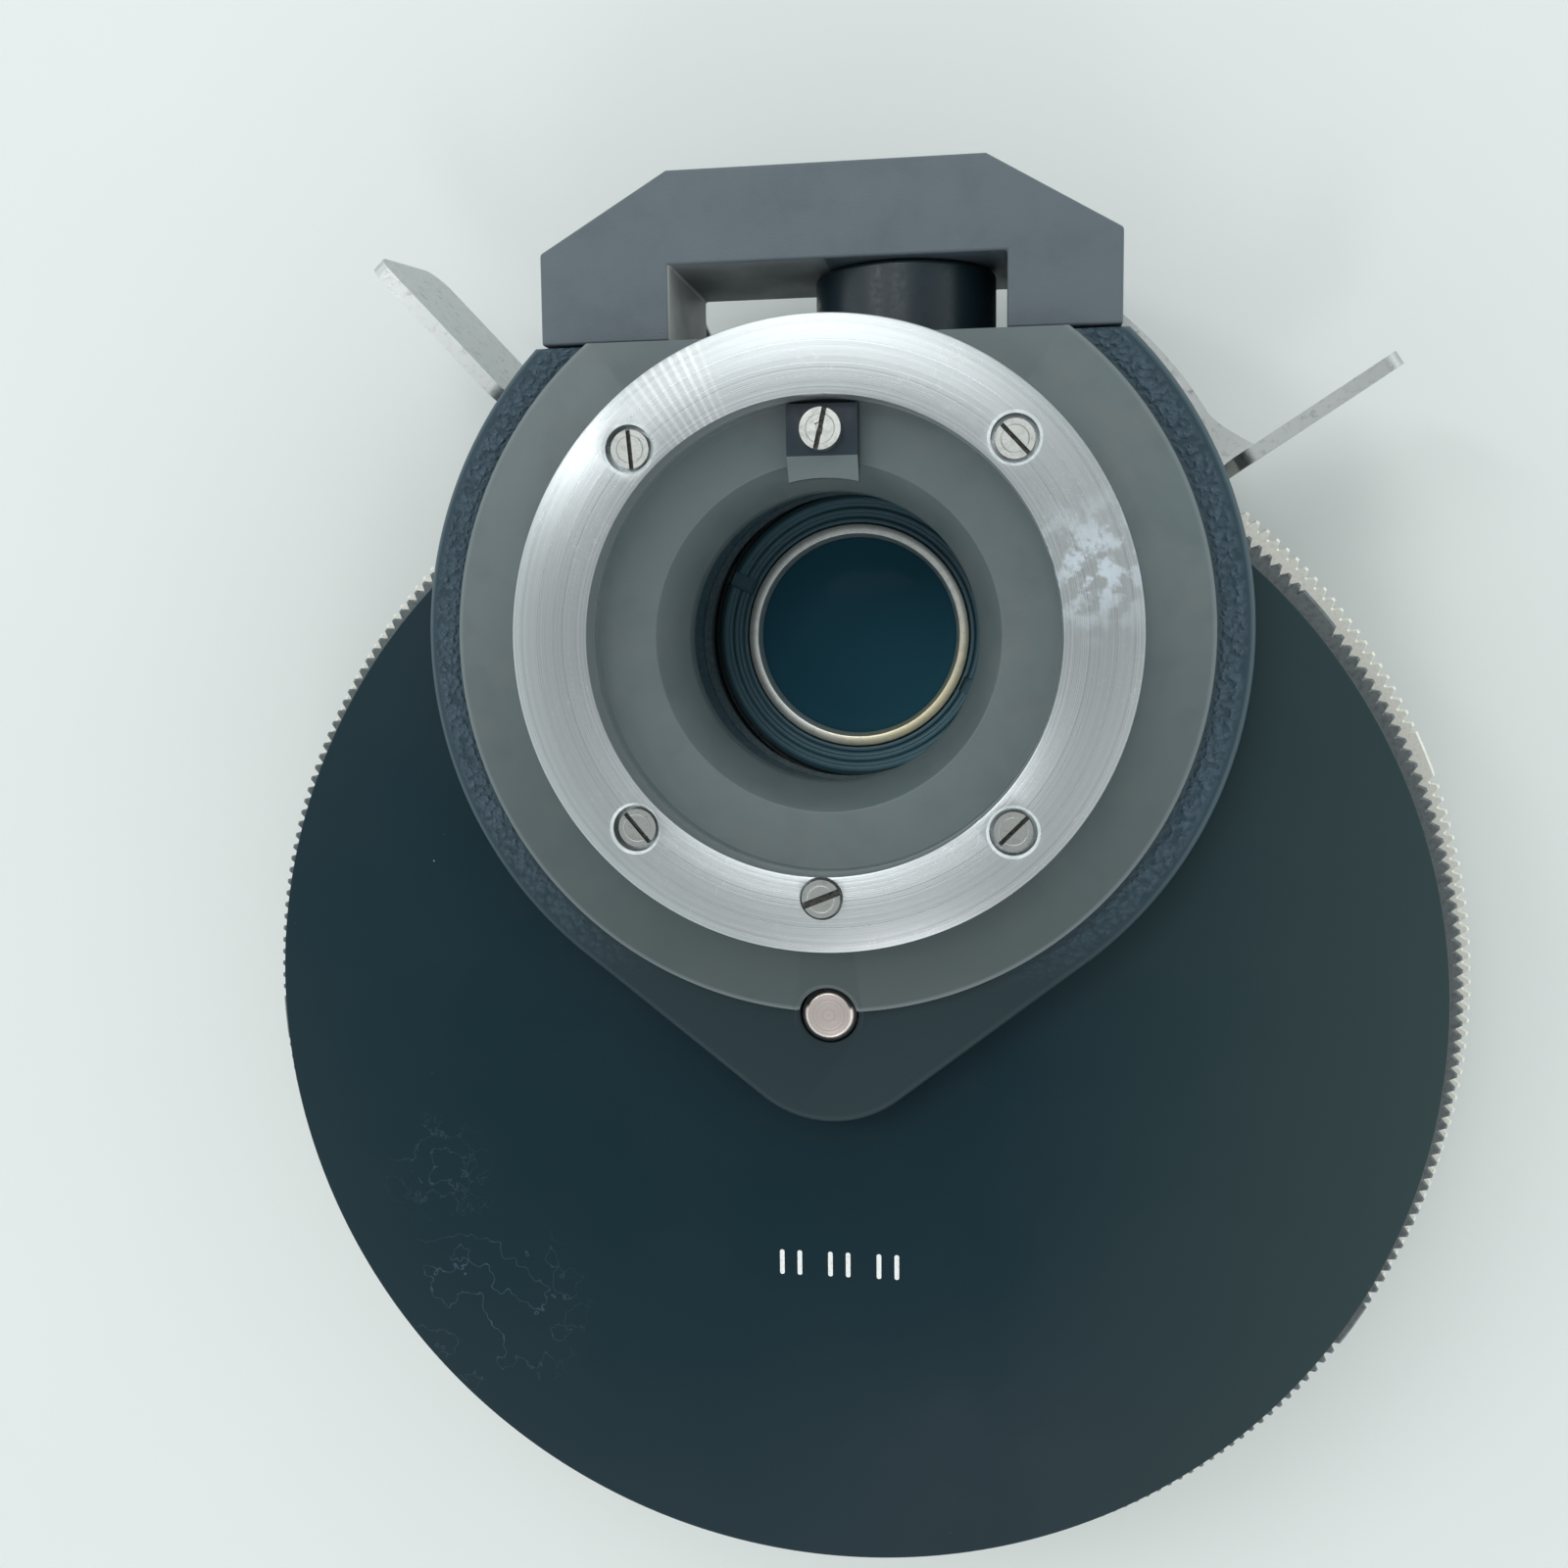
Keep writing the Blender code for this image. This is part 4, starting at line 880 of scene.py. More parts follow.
def make_collar():
    bottom = low_z("collar_plate")
    neck = HOUSING_UNDER + GAP
    profile = [(BORE_R, TOP - 13.0), (FUNNEL_R, ANNULUS), (RING_BORE_R, ANNULUS),
               (RING_BORE_R, COLLAR_TOP), (COLLAR_R, COLLAR_TOP), (COLLAR_R, COLLAR_EDGE),
               (COLLAR_STEP_R, COLLAR_EDGE), (COLLAR_STEP_R, neck), (COLLAR_NECK_R, neck),
               (COLLAR_NECK_R, bottom), (BORE_R, bottom)]
    collar = turned("grey_collar", profile, LIGHT, 256, 0.2)
    cutters = [drum(f"collar_drill_{i}", SCREW_HOLE_R, neck - 2, TOP, spot, 24)
               for i, spot in enumerate(ring_screw_spots())]
    cutters.append(drum("collar_key_drill", KEY_HOLE_R, TOP - 9.4, TOP, LIGHT + KEY_SCREW, 24))
    notch = [(0.0, TOP - 7.0), (PIN_HOLE_R, TOP - 7.0), (PIN_HOLE_R, COLLAR_TOP - 0.6),
             (PIN_SINK_R, COLLAR_TOP + 0.1), (PIN_SINK_R, TOP), (0.0, TOP)]
    cutters.append(turned("pin_notch", notch, TURRET, 64, 0.0, False))
    flat = Plan().corners((-COLLAR_R - 1, HOUSING_FLAT), (COLLAR_R + 1, HOUSING_FLAT),
                          (COLLAR_R + 1, COLLAR_R + 1), (-COLLAR_R - 1, COLLAR_R + 1))
    cutters.append(flat.slab("collar_flat", TOP - 7.0, TOP))
    combine(collar, cutters)
    dress(collar, COLLAR, "frame", "collar_plate", slot="collar_grey")


def teardrop():
    """Plan of the housing: two circles, their common tangents and a flat back."""
    lean = math.degrees(math.acos((HOUSING_R - HOUSING_TIP_R) / OFFSET))
    corner = math.degrees(math.asin(HOUSING_FLAT / HOUSING_R))
    plan = Plan().arc(HOUSING_R, lean - 90, corner, 72)
    plan.arc(HOUSING_R, HALF_TURN - corner, 270 - lean, 72)
    return plan.arc(HOUSING_TIP_R, 270 - lean, 270 + lean, 36, (0.0, -OFFSET))


def rear_wall():
    """Plan of the housing's rear wall, between its rim and the wheels."""
    low = 23.0
    corner = math.degrees(math.asin(HOUSING_FLAT / HOUSING_R))
    foot = math.degrees(math.asin(low / HOUSING_R))
    end = math.degrees(math.asin((low + OFFSET) / WHEEL_CLEARANCE_R))
    plan = Plan().arc(HOUSING_R, foot, corner, 20)
    plan.arc(HOUSING_R, HALF_TURN - corner, HALF_TURN - foot, 20)
    return plan.arc(WHEEL_CLEARANCE_R, HALF_TURN - end, end, 90, (0.0, -OFFSET))


def make_housing():
    top, bottom = high_z("upper_housing"), low_z("upper_housing")
    bm = teardrop().drawn(HOUSING_UNDER, top)
    rim = [edge for edge in bm.edges if all(v.co.z > (top - 0.1) * MM for v in edge.verts)]
    bmesh.ops.bevel(bm, geom=rim, offset=1.0 * MM, offset_type="OFFSET", segments=3,
                    profile=0.5, affect="EDGES", material=-1)
    housing = as_object("painted_housing", bm)
    combine(housing, [rear_wall().slab("housing_wall", bottom, HOUSING_UNDER + 1.0)], "UNION")
    funnel = [(0.0, HOUSING_UNDER - 1), (PIN_HOLE_R, HOUSING_UNDER - 1), (PIN_HOLE_R, top - 0.6),
              (PIN_SINK_R + 0.3, top + 0.3), (0.0, top + 0.3)]
    cutters = [drum("collar_seat", COLLAR_STEP_R + GAP, HOUSING_UNDER - 1, top + 1, LIGHT, 160),
               turned("pin_funnel", funnel, TURRET, 64, 0.0, False)]
    for i, spot in enumerate(ring_screw_spots()):
        cutters.append(drum(f"housing_drill_{i}", SCREW_HOLE_R, TOP - 9.4, top + 1, spot, 24))
    for side in (-1, 1):
        spot = wall_screw_spot(side)
        cutters.append(drum(f"wall_drill_{side}", SCREW_HOLE_R, bottom - 1, bottom + 8.7, spot, 24))
        cutters.append(bracket_rod(f"bracket_tap_{side}", side, 1.7, 31.3, 40.0, 24))
    combine(housing, cutters)
    dress(housing, CRINKLE, "frame", "upper_housing", slot="crinkle_paint")


def make_cover():
    top, bottom = high_z("cover_plate"), low_z("cover_plate")
    hub = AXLE_R + GAP
    profile = [(hub, bottom), (COVER_R, bottom), (COVER_R, top), (hub, top)]
    cover = turned("satin_cover", profile, TURRET, 320, 0.35)
    bore = drum("cover_bore", COVER_BORE_R, bottom - 1, top + 1, LIGHT, 128)
    well = drum("cover_detent", DETENT_R, bottom - 1, top - 0.6, detent_spot(), 24)
    combine(cover, [bore, well])
    dress(cover, COVER, "frame", "cover_plate", slot="cover_black")


def make_index_marks():
    """Three pairs of short white bars, a plain stand-in for the cover's engraving."""
    level = high_z("cover_plate") - 0.02
    height, width, spacing, pair_gap = 3.3, 0.6, 6.3, 2.3
    bm = bmesh.new()
    for i in range(6):
        across = spacing * (i // 2 - 1) + pair_gap * (i % 2 - 0.5)
        spot = (LIGHT + MARKS_SPOT + Vector((across, 0.0))) * MM
        size = Matrix.Diagonal((width * MM, height * MM, 0.06 * MM, 1.0))
        placed = Matrix.Translation((*spot, level * MM)) @ size
        made = bmesh.ops.create_cube(bm, size=1.0, matrix=placed)
        upright = {edge for vert in made["verts"] for edge in vert.link_edges
                   if abs(edge.verts[0].co.z - edge.verts[1].co.z) > 0.02 * MM}
        bmesh.ops.bevel(bm, geom=list(upright), offset=0.26 * MM, offset_type="OFFSET",
                        segments=4, profile=0.5, affect="EDGES", material=-1)
    marks = as_object("index_marks", bm)
    dress(marks, WHITE, "frame")


# --- Axle, wheels, inserts and detents ---

def make_axle():
    bottom, top = low_z("turret_axle"), high_z("turret_axle")
    upper = HOUSING_UNDER - GAP
    profile = [(0.0, bottom), (PIN_R, bottom), (PIN_R, AXLE_SHOULDER), (AXLE_R, AXLE_SHOULDER),
               (AXLE_R, upper), (PIN_R, upper), (PIN_R, top - 0.7), (PIN_R - 0.7, top), (0.0, top)]
    axle = turned("turned_axle", profile, TURRET, 96, 0.08, False)
    dress(axle, PIN_STEEL, "frame", "turret_axle", slot="turned_steel")
    low, high = low_z("axle_nut"), high_z("axle_nut")
    nut = rod("hex_nut", NUT_R, (*TURRET, low), (*TURRET, high), 6)
    crown = [(0.0, low - 1), (5.1, low - 1), (5.1, low), (6.0, low + 0.55), (6.0, high + 1),
             (0.0, high + 1)]
    bore = [(0.0, low - 1), (PIN_R + 0.9, low - 1), (PIN_R + GAP, low + 0.5),
            (PIN_R + GAP, high + 1), (0.0, high + 1)]
    combine(nut, [turned("nut_crown", crown, TURRET, 96, 0.0, False)], "INTERSECT")
    combine(nut, [turned("nut_bore", bore, TURRET, 64, 0.0, False)])
    dress(nut, SCREW, "frame", "axle_nut", slot="screw_steel")


def knurled_disc(radius, low, high, land_at):
    """A toothed disc with a plain land between each pair of its positions."""
    bm = bmesh.new()
    hub = Vector((*(TURRET * MM), 0.0))
    centre = Matrix.Translation((hub.x, hub.y, low * MM))
    bmesh.ops.create_circle(bm, cap_ends=True, segments=TEETH * 4, radius=radius * MM,
                            matrix=centre)
    pitch, spacing = 360.0 / TEETH, 360.0 / POCKETS
    phases = (0.08, 0.36, 0.64, 0.92)
    rim = sorted(bm.verts, key=lambda v: math.atan2(v.co.y - hub.y, v.co.x - hub.x))
    for i, vert in enumerate(rim):
        angle = pitch * (i // 4 + phases[i % 4]) - HALF_TURN
        from_land = abs((angle - land_at + spacing / 2) % spacing - spacing / 2)
        proud = i % 4 in (1, 2) or from_land < LAND_WIDTH / 2
        spot = polar(radius if proud else radius - KNURL_DEPTH, angle) * MM
        vert.co.x, vert.co.y = hub.x + spot.x, hub.y + spot.y
    chamfer = 0.35
    for rise, inset in ((chamfer, 0.0), (high - low - 2 * chamfer, 0.0), (chamfer, chamfer)):
        lid = [face for face in bm.faces if face.calc_center_median().z > 0.999 * max(
            v.co.z for v in bm.verts)]
        made = bmesh.ops.extrude_face_region(bm, geom=lid)
        lifted = [item for item in made["geom"] if isinstance(item, bmesh.types.BMVert)]
        bmesh.ops.translate(bm, verts=lifted, vec=(0, 0, rise * MM))
        shrink = 1.0 - inset / radius
        bmesh.ops.scale(bm, verts=lifted, vec=(shrink, shrink, 1.0),
                        space=Matrix.Translation(-hub))
        if rise != chamfer or inset:
            bmesh.ops.delete(bm, geom=lid, context="FACES_ONLY")
    return bm


def make_wheel(name, node, body, look, land_at, slot):
    low, high = low_z(node), high_z(node)
    wheel = as_object(name, knurled_disc(half_width(node), low, high, land_at))
    cutters = [drum(f"{name}_hub", AXLE_R + GAP, low - 1, high + 1, TURRET, 48)]
    for i in range(POCKETS):
        spot = TURRET + polar(OFFSET, 90 + 360.0 / POCKETS * i)
        cutters.append(drum(f"{name}_pocket_{i}", POCKET_R, low - 1, high + 1, spot, 96))
    combine(wheel, cutters)
    smoothed(wheel, 25.0)
    dress(wheel, look, body, node, slot=slot)


def make_inserts():
    """Blackened stops in the upper wheel, tinted filters in the lower one."""
    kinds = (("upper", BLACK, "black_anodised", 7.0), ("lower", GLASS, "optical_glass", 8.0))
    for layer, look, slot, bore in kinds:
        for i in range(1, POCKETS):
            node = f"{layer}_insert_{i}"
            low, high = low_z(node), high_z(node)
            outer = POCKET_R - GAP
            profile = [(bore, low), (outer, low), (outer, high), (outer - 1.2, high),
                       (outer - 1.8, high - 0.6), (bore + 1.0, high - 0.6), (bore, high - 1.4)]
            disc = turned(f"{layer}_disc_{i}", profile, middle(node).xy, 72, 0.12)
            dress(disc, look, f"{layer}_turret", node, slot=slot)


def make_detents():
    """Click-stop balls and the flat coil springs behind them."""
    for layer in ("upper", "lower"):
        ball, coil = f"{layer}_detent_ball", f"{layer}_detent_spring"
        bm = bmesh.new()
        radius = half_width(ball) * MM
        bmesh.ops.create_icosphere(bm, subdivisions=4, radius=radius,
                                   matrix=Matrix.Translation(middle(ball) * MM))
        dress(as_object(f"{layer}_click_ball", bm, 60.0), SCREW, f"{layer}_ball", ball,
              slot="screw_steel")
        low, high = low_z(coil), high_z(coil)
        hub = middle(coil).xy * MM
        wire = WIRE_R * MM
        bm = bmesh.new()
        start = Matrix.Translation((hub.x + COIL_R * MM, hub.y, low * MM + wire))
        bmesh.ops.create_circle(bm, cap_ends=True, segments=10, radius=wire,
                                matrix=start @ Matrix.Rotation(math.radians(90), 4, "X"))
        steps = 60
        lift = ((high - low) * MM - 2 * wire) / steps
        bmesh.ops.spin(bm, geom=bm.verts[:] + bm.edges[:] + bm.faces[:],
                       cent=(hub.x, hub.y, 0.0), axis=(0, 0, 1), dvec=(0, 0, lift),
                       angle=2 * math.pi * COIL_TURNS, steps=steps)
        dress(as_object(f"{layer}_click_spring", bm, 60.0), SCREW, "frame", coil,
              slot="spring_steel")


# --- Bottom plate, foot and iris ---

def sunk_tool(name, spot, face, inward, far):
    """The shape of a countersunk hole, from the face to the far side of a plate."""
    profile = [(0.0, face - inward), (3.4, face - inward), (3.4, face + inward * 0.2),
               (SCREW_HOLE_R, face + inward * 2.0), (SCREW_HOLE_R, far + inward),
               (0.0, far + inward)]
    return turned(name, profile, spot, 48, 0.0, False)


def sunk_screw(name, node, inward, slot_angle):
    """A countersunk screw just inside its face, with a driver slot."""
    low, high = low_z(node), high_z(node)
    face, end = (low, high) if inward > 0 else (high, low)
    spot = middle(node).xy
    profile = [(0.0, face), (2.8, face), (2.8, face + inward * 0.2),
               (1.2, face + inward * 2.0), (1.2, end), (0.0, end)]
    screw = turned(name, profile, spot, 48, 0.05, False)
    levels = sorted((face - inward, face + inward * 0.7))
    combine(screw, [bar(name + "_slot", SLOT_LENGTH, SLOT_WIDTH, slot_angle, *levels, spot)])
    dress(screw, SCREW, "frame", node, slot="screw_steel")


def make_bottom_plate():
    low, high = low_z("bottom_plate"), high_z("bottom_plate")
    meet_y = (PLATE_R**2 - HOUSING_R**2 - OFFSET**2) / (2 * OFFSET)
    meet = math.degrees(math.asin(meet_y / HOUSING_R))
    corner = math.degrees(math.asin(HOUSING_FLAT / HOUSING_R))
    turn = math.degrees(math.asin((meet_y + OFFSET) / PLATE_R))
    plan = Plan().arc(HOUSING_R, meet, corner, 24)
    plan.arc(HOUSING_R, HALF_TURN - corner, HALF_TURN - meet, 24)
    plan.arc(PLATE_R, HALF_TURN - turn, 2 * HALF_TURN + turn, 220, (0.0, -OFFSET))
    plate = plan.slab("black_bottom_plate", low, high)
    cutters = [drum("plate_bore", PLATE_BORE_R, low - 1, high + 1, LIGHT, 128),
               drum("plate_axle_drill", PIN_R + GAP, low - 1, high + 1, TURRET, 48),
               drum("plate_detent", DETENT_R, low - 1, high + 1, detent_spot(), 32)]
    for side in (-1, 1):
        spot = wall_screw_spot(side)
        cutters.append(sunk_tool(f"plate_sink_{side}", spot, low, 1, high))
    for i, spot in enumerate(barrel_screw_spots()):
        cutters.append(sunk_tool(f"barrel_sink_{i}", spot, high, -1, low))
    for side, angle, _ in FOOT_SCREWS:
        spot = TURRET + polar((FOOT_INNER_R + FOOT_OUTER_R) / 2, angle)
        cutters.append(drum(f"foot_tap_{side}", SCREW_HOLE_R, low - 1, high - 0.6, spot, 32))
    combine(plate, cutters)
    ease_edges(plate, 0.25)
    dress(plate, BLACK, "frame", "bottom_plate", slot="black_anodised")
    sunk_screw("plate_screw_head_left", "plate_screw_left", 1, 30.0)
    sunk_screw("plate_screw_head_right", "plate_screw_right", 1, -65.0)
    for i, angle in enumerate((12.0, 80.0, -35.0), 1):
        sunk_screw(f"barrel_screw_head_{i}", f"barrel_screw_{i}", -1, angle)


def make_foot():
    low, high = low_z("foot_rim"), high_z("foot_rim")
    end = FOOT_START + FOOT_SWEEP
    plan = Plan(TURRET).arc(FOOT_OUTER_R, FOOT_START, end, 72).arc(FOOT_INNER_R, end, FOOT_START, 72)
    foot = plan.slab("curved_foot", low, high)
    cutters = []
    for name, angle, _ in FOOT_SCREWS:
        spot = TURRET + polar((FOOT_INNER_R + FOOT_OUTER_R) / 2, angle)
        well = [(0.0, low - 1), (2.9, low - 1), (2.9, TOP - 40.0), (SCREW_HOLE_R, TOP - 40.0),
                (SCREW_HOLE_R, high + 1), (0.0, high + 1)]
        cutters.append(turned(f"foot_well_{name}", well, spot, 48, 0.0, False))
    combine(foot, cutters)
    ease_edges(foot, 0.4, 3)
    dress(foot, BLACK, "frame", "foot_rim", slot="black_anodised")
    for name, _, slot_angle in FOOT_SCREWS:
        node = f"foot_screw_{name}"
        face, end = low_z(node), high_z(node)
        spot = middle(node).xy
        profile = [(0.0, face), (2.4, face), (2.4, face + 2.3), (1.25, face + 2.3),
                   (1.25, end), (0.0, end)]
        screw = turned(f"foot_screw_head_{name}", profile, spot, 48, 0.18, False)
        driver = bar(f"foot_slot_{name}", SLOT_LENGTH, SLOT_WIDTH, slot_angle, face - 1,
                     face + 0.8, spot)
        combine(screw, [driver])
        dress(screw, SCREW, "frame", node, slot="screw_steel")


def make_barrel():
    """The iris barrel: a cup with a flange for the yoke and a slot for the drive pin."""
    base, top = low_z("iris_housing"), high_z("iris_housing")
    flange_top, flange_bottom = LEVER_BOTTOM - GAP, LEVER_BOTTOM - 1.6
    floor_top, floor_bottom, ceiling = TOP - 45.1, TOP - 47.0, TOP - 36.5
    hole = CELL_R + GAP
    profile = [(PLATE_BORE_R, top), (BARREL_R, top), (BARREL_R, flange_top),
               (BARREL_FLANGE_R, flange_top), (BARREL_FLANGE_R, flange_bottom),
               (BARREL_R, flange_bottom), (BARREL_R, base), (BARREL_BORE_R, base),
               (BARREL_BORE_R, floor_bottom), (hole, floor_bottom), (hole, floor_top),
               (BARREL_BORE_R, floor_top), (BARREL_BORE_R, ceiling), (PLATE_BORE_R, ceiling)]
    barrel = turned("iris_barrel", profile, LIGHT, 192, 0.12)
    cutters = [drum(f"barrel_tap_{i}", 1.5, TOP - 38.0, top + 1, spot, 32)
               for i, spot in enumerate(barrel_screw_spots())]
    cutters += [drum(f"pivot_drill_{i}", PIVOT_HOLE_R, TOP - 38.0, TOP - 34.9, spot, 32)
                for i, spot in enumerate(ring_of(PIVOT_CIRCLE, BLADES))]
    slot = Plan().arc(BARREL_R + 1, -97.0, -68.0, 24).arc(BARREL_BORE_R - 1, -68.0, -97.0, 24)
    cutters.append(slot.slab("drive_slot", TOP - 44.6, TOP - 42.4))
    combine(barrel, cutters)
    dress(barrel, BLACK, "frame", "iris_housing", slot="black_anodised")


def make_iris():
    """The cam ring, its drive pin and six sickle blades."""
    low, high = low_z("iris_cam_ring"), high_z("iris_cam_ring")
    profile = [(BLADE_INNER_R, low), (CAM_RING_R, low), (CAM_RING_R, high), (BLADE_INNER_R, high)]
    cam = turned("blackened_cam_ring", profile, LIGHT, 160, 0.12)
    start = (LIGHT.x, LIGHT.y - 28.4, DRIVE_LEVEL)
    end = (LIGHT.x, LIGHT.y - 43.0, DRIVE_LEVEL)
    combine(cam, [rod("cam_pin_drill", DRIVE_HOLE_R, start, end, 24)])
    dress(cam, BLACK, "iris_control", "iris_cam_ring", slot="black_anodised")
    near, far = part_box("iris_drive_pin")
    pin = rod("drive_peg", 0.7, (LIGHT.x, near[1] / MM, DRIVE_LEVEL),
              (LIGHT.x, far[1] / MM, DRIVE_LEVEL), 32)
    ease_edges(pin, 0.12)
    dress(pin, SCREW, "iris_control", "iris_drive_pin", slot="screw_steel")
    for i in range(BLADES):
        node = f"iris_blade_{i + 1}"
        low = low_z(node)
        high = low + 0.6
        turn = 360.0 / BLADES * i
        start, end = turn - 3.0, turn + 100.0
        pivot = LIGHT + polar(PIVOT_CIRCLE, turn)
        sickle = Plan().arc(BLADE_OUTER_R, start, end, 48).arc(BLADE_INNER_R, end, start, 48)
        blade = sickle.slab(f"sickle_blade_{i + 1}", low, high)
        lug = Plan(pivot).arc(1.3, turn - 90, turn + 90, 12)
        lug.corners(*(polar(5.0, turn + HALF_TURN) + polar(1.3, turn + side) for side in (90, -90)))
        pieces = [lug.slab("lug", low, high), drum("peg", 0.8, low + 0.1, high_z(node), pivot, 24)]
        combine(blade, pieces, "UNION")
        dress(blade, BLADE, f"blade_{i + 1}", node, slot="blade_steel")


# --- Finger yoke ---

def beside_line(finger, radius):
    """The point at a radius on a finger's line."""
    turn = -finger["side"] * math.degrees(math.asin(finger["beside"] / radius))
    return polar(radius, finger["direction"] + turn)


def arm(finger):
    """A flat arm from the yoke ring that flares out at the finger's bend line."""
    start_out = beside_line(finger, FINGER_FOOT_R)
    start_in = beside_line(finger, ARM_INNER_R)
    start = math.degrees(math.atan2(start_out.y, start_out.x))
    inner_start = math.degrees(math.atan2(start_in.y, start_in.x))
    end = finger["arm_end"]
    plan = Plan().corner(*start_out)
    flare_steps = 12
    for i in range(1, flare_steps + 1):
        part = i / flare_steps
        flare = (FINGER_FOOT_R - ARM_R) * (1 - part) ** 1.5
        plan.corner(*polar(ARM_R + flare, start + (end - start) * part * 0.286))
    plan.arc(ARM_R, start + (end - start) * 0.3, end, 32)
    plan.arc(ARM_INNER_R, end, inner_start, 24)
    return plan.slab(f"arm_{finger['name']}", LEVER_BOTTOM, LEVER_TOP)


def upturned(finger):
    """The finger: an upright plate with rounded outer corners, leaning as it was bent."""
    inner = math.sqrt(FINGER_INNER_R**2 - finger["beside"] ** 2)
    outer = math.sqrt(finger["reach"] ** 2 - finger["beside"] ** 2)
    foot, top = 3.5, 2.5
    rise = FINGER_TOP - LEVER_BOTTOM
    plan = Plan(Vector((0.0, 0.0))).corner(inner, 0.0)
    plan.arc(foot, -90, 0, 12, (outer - foot, foot))
    plan.arc(top, 0, 90, 10, (outer - top, rise - top))
    plan.arc(top, 90, HALF_TURN, 10, (inner + top, rise - top))
    bm = plan.drawn(-FINGER_SHEET / 2, FINGER_SHEET / 2)
    along = polar(1.0, finger["direction"])
    away = Vector((along.y, -along.x)) * finger["side"]
    lean = away * math.tan(math.radians(finger["lean"]))
    start = (LIGHT + away * finger["beside"]) * MM
    stand = Matrix(((along.x, lean.x, away.x, start.x), (along.y, lean.y, away.y, start.y),
                    (0.0, 1.0, 0.0, LEVER_BOTTOM * MM), (0.0, 0.0, 0.0, 1.0)))
    bmesh.ops.transform(bm, matrix=stand, verts=bm.verts)
    return as_object(f"finger_{finger['name']}", bm)


def make_yoke():
    profile = [(BARREL_R + GAP, LEVER_BOTTOM), (YOKE_R, LEVER_BOTTOM), (YOKE_R, LEVER_TOP),
               (BARREL_R + GAP, LEVER_TOP)]
    yoke = turned("finger_yoke", profile, LIGHT, 192, 0.0)
    pieces = [arm(finger) for finger in FINGERS] + [upturned(finger) for finger in FINGERS]
    drop = Plan().arc(YOKE_R - 0.05, -94.0, -86.0, 8).arc(BARREL_FLANGE_R + 0.6, -86.0, -94.0, 8)
    pieces.append(drop.slab("drop_tab", TOP - 44.8, LEVER_TOP - 0.6))
    combine(yoke, pieces, "UNION")
    start = (LIGHT.x, LIGHT.y - 36.0, DRIVE_LEVEL)
    end = (LIGHT.x, LIGHT.y - 44.0, DRIVE_LEVEL)
    combine(yoke, [rod("yoke_drill", DRIVE_HOLE_R, start, end, 24)])
    ease_edges(yoke, 0.25, 3, 40.0)
    dress(yoke, STAINLESS, "iris_control", "iris_lever", slot="stainless_sheet")


# --- Condenser lens and cell ---

def make_lens():
    bottom = low_z("condenser_lens")
    rim, crown = TOP - 44.2, TOP - 42.9
    bulge = (LENS_R**2 + (crown - rim) ** 2) / (2 * (crown - rim))
    steps = 24
    dome = [LENS_R * (1 - i / steps) for i in range(steps + 1)]
    profile = [(0.0, bottom), (LENS_R, bottom)]
    profile += [(r, crown - bulge + math.sqrt(bulge**2 - r**2)) for r in dome]
    lens = turned("lens_element", profile, LIGHT, 128, 0.0, False)
    dress(lens, GLASS, "frame", "condenser_lens", slot="optical_glass")
    lens.data.materials.append(REAR_GLASS)
    for polygon in lens.data.polygons:
        if polygon.center.z / MM < rim - 0.1:
            polygon.material_index = 1
    low, top = low_z("lens_retaining_ring"), high_z("lens_retaining_ring")
    band = [(14.0, low + 0.3), (14.5, top), (15.8, top), (15.8, low), (14.0, low)]
    ring = turned("lens_ring", band, LIGHT, 192, 0.06)
    dress(ring, NICKEL, "frame", "lens_retaining_ring", slot="nickelled_brass")


def make_cell():
    """The lens cell: stepped and threaded inside, with two spanner notches."""
    low, high = low_z("lens_cell"), high_z("lens_cell")
    flange, seat = TOP - 47.3, TOP - 44.0
    lens_bore = LENS_R + GAP
    profile = [(27.0, low), (27.0, flange), (CELL_R, flange), (CELL_R, high - 0.6),
               (19.5, high), (18.9, high), (18.7, high - 0.5), (18.2, high - 0.5),
               (18.0, high - 0.1), (17.5, high - 0.1), (17.3, high - 0.8), (16.7, high - 0.8),
               (16.6, high - 0.2), (16.1, high - 0.2), (16.1, seat), (lens_bore, seat),
               (lens_bore, low + 0.8), (LENS_R - 1.0, low + 0.8), (LENS_R - 1.0, low)]
    cell = turned("threaded_lens_cell", profile, LIGHT, 160, 0.05)
    notches = [bar(f"spanner_notch_{angle}", 4.0, 2.2, angle, high - 1.4, high + 1, LIGHT, 16.3)
               for angle in (155.0, 335.0)]
    combine(cell, notches)
    dress(cell, BORE_BLACK, "frame", "lens_cell", slot="black_anodised")


# --- Rear bracket and post ---

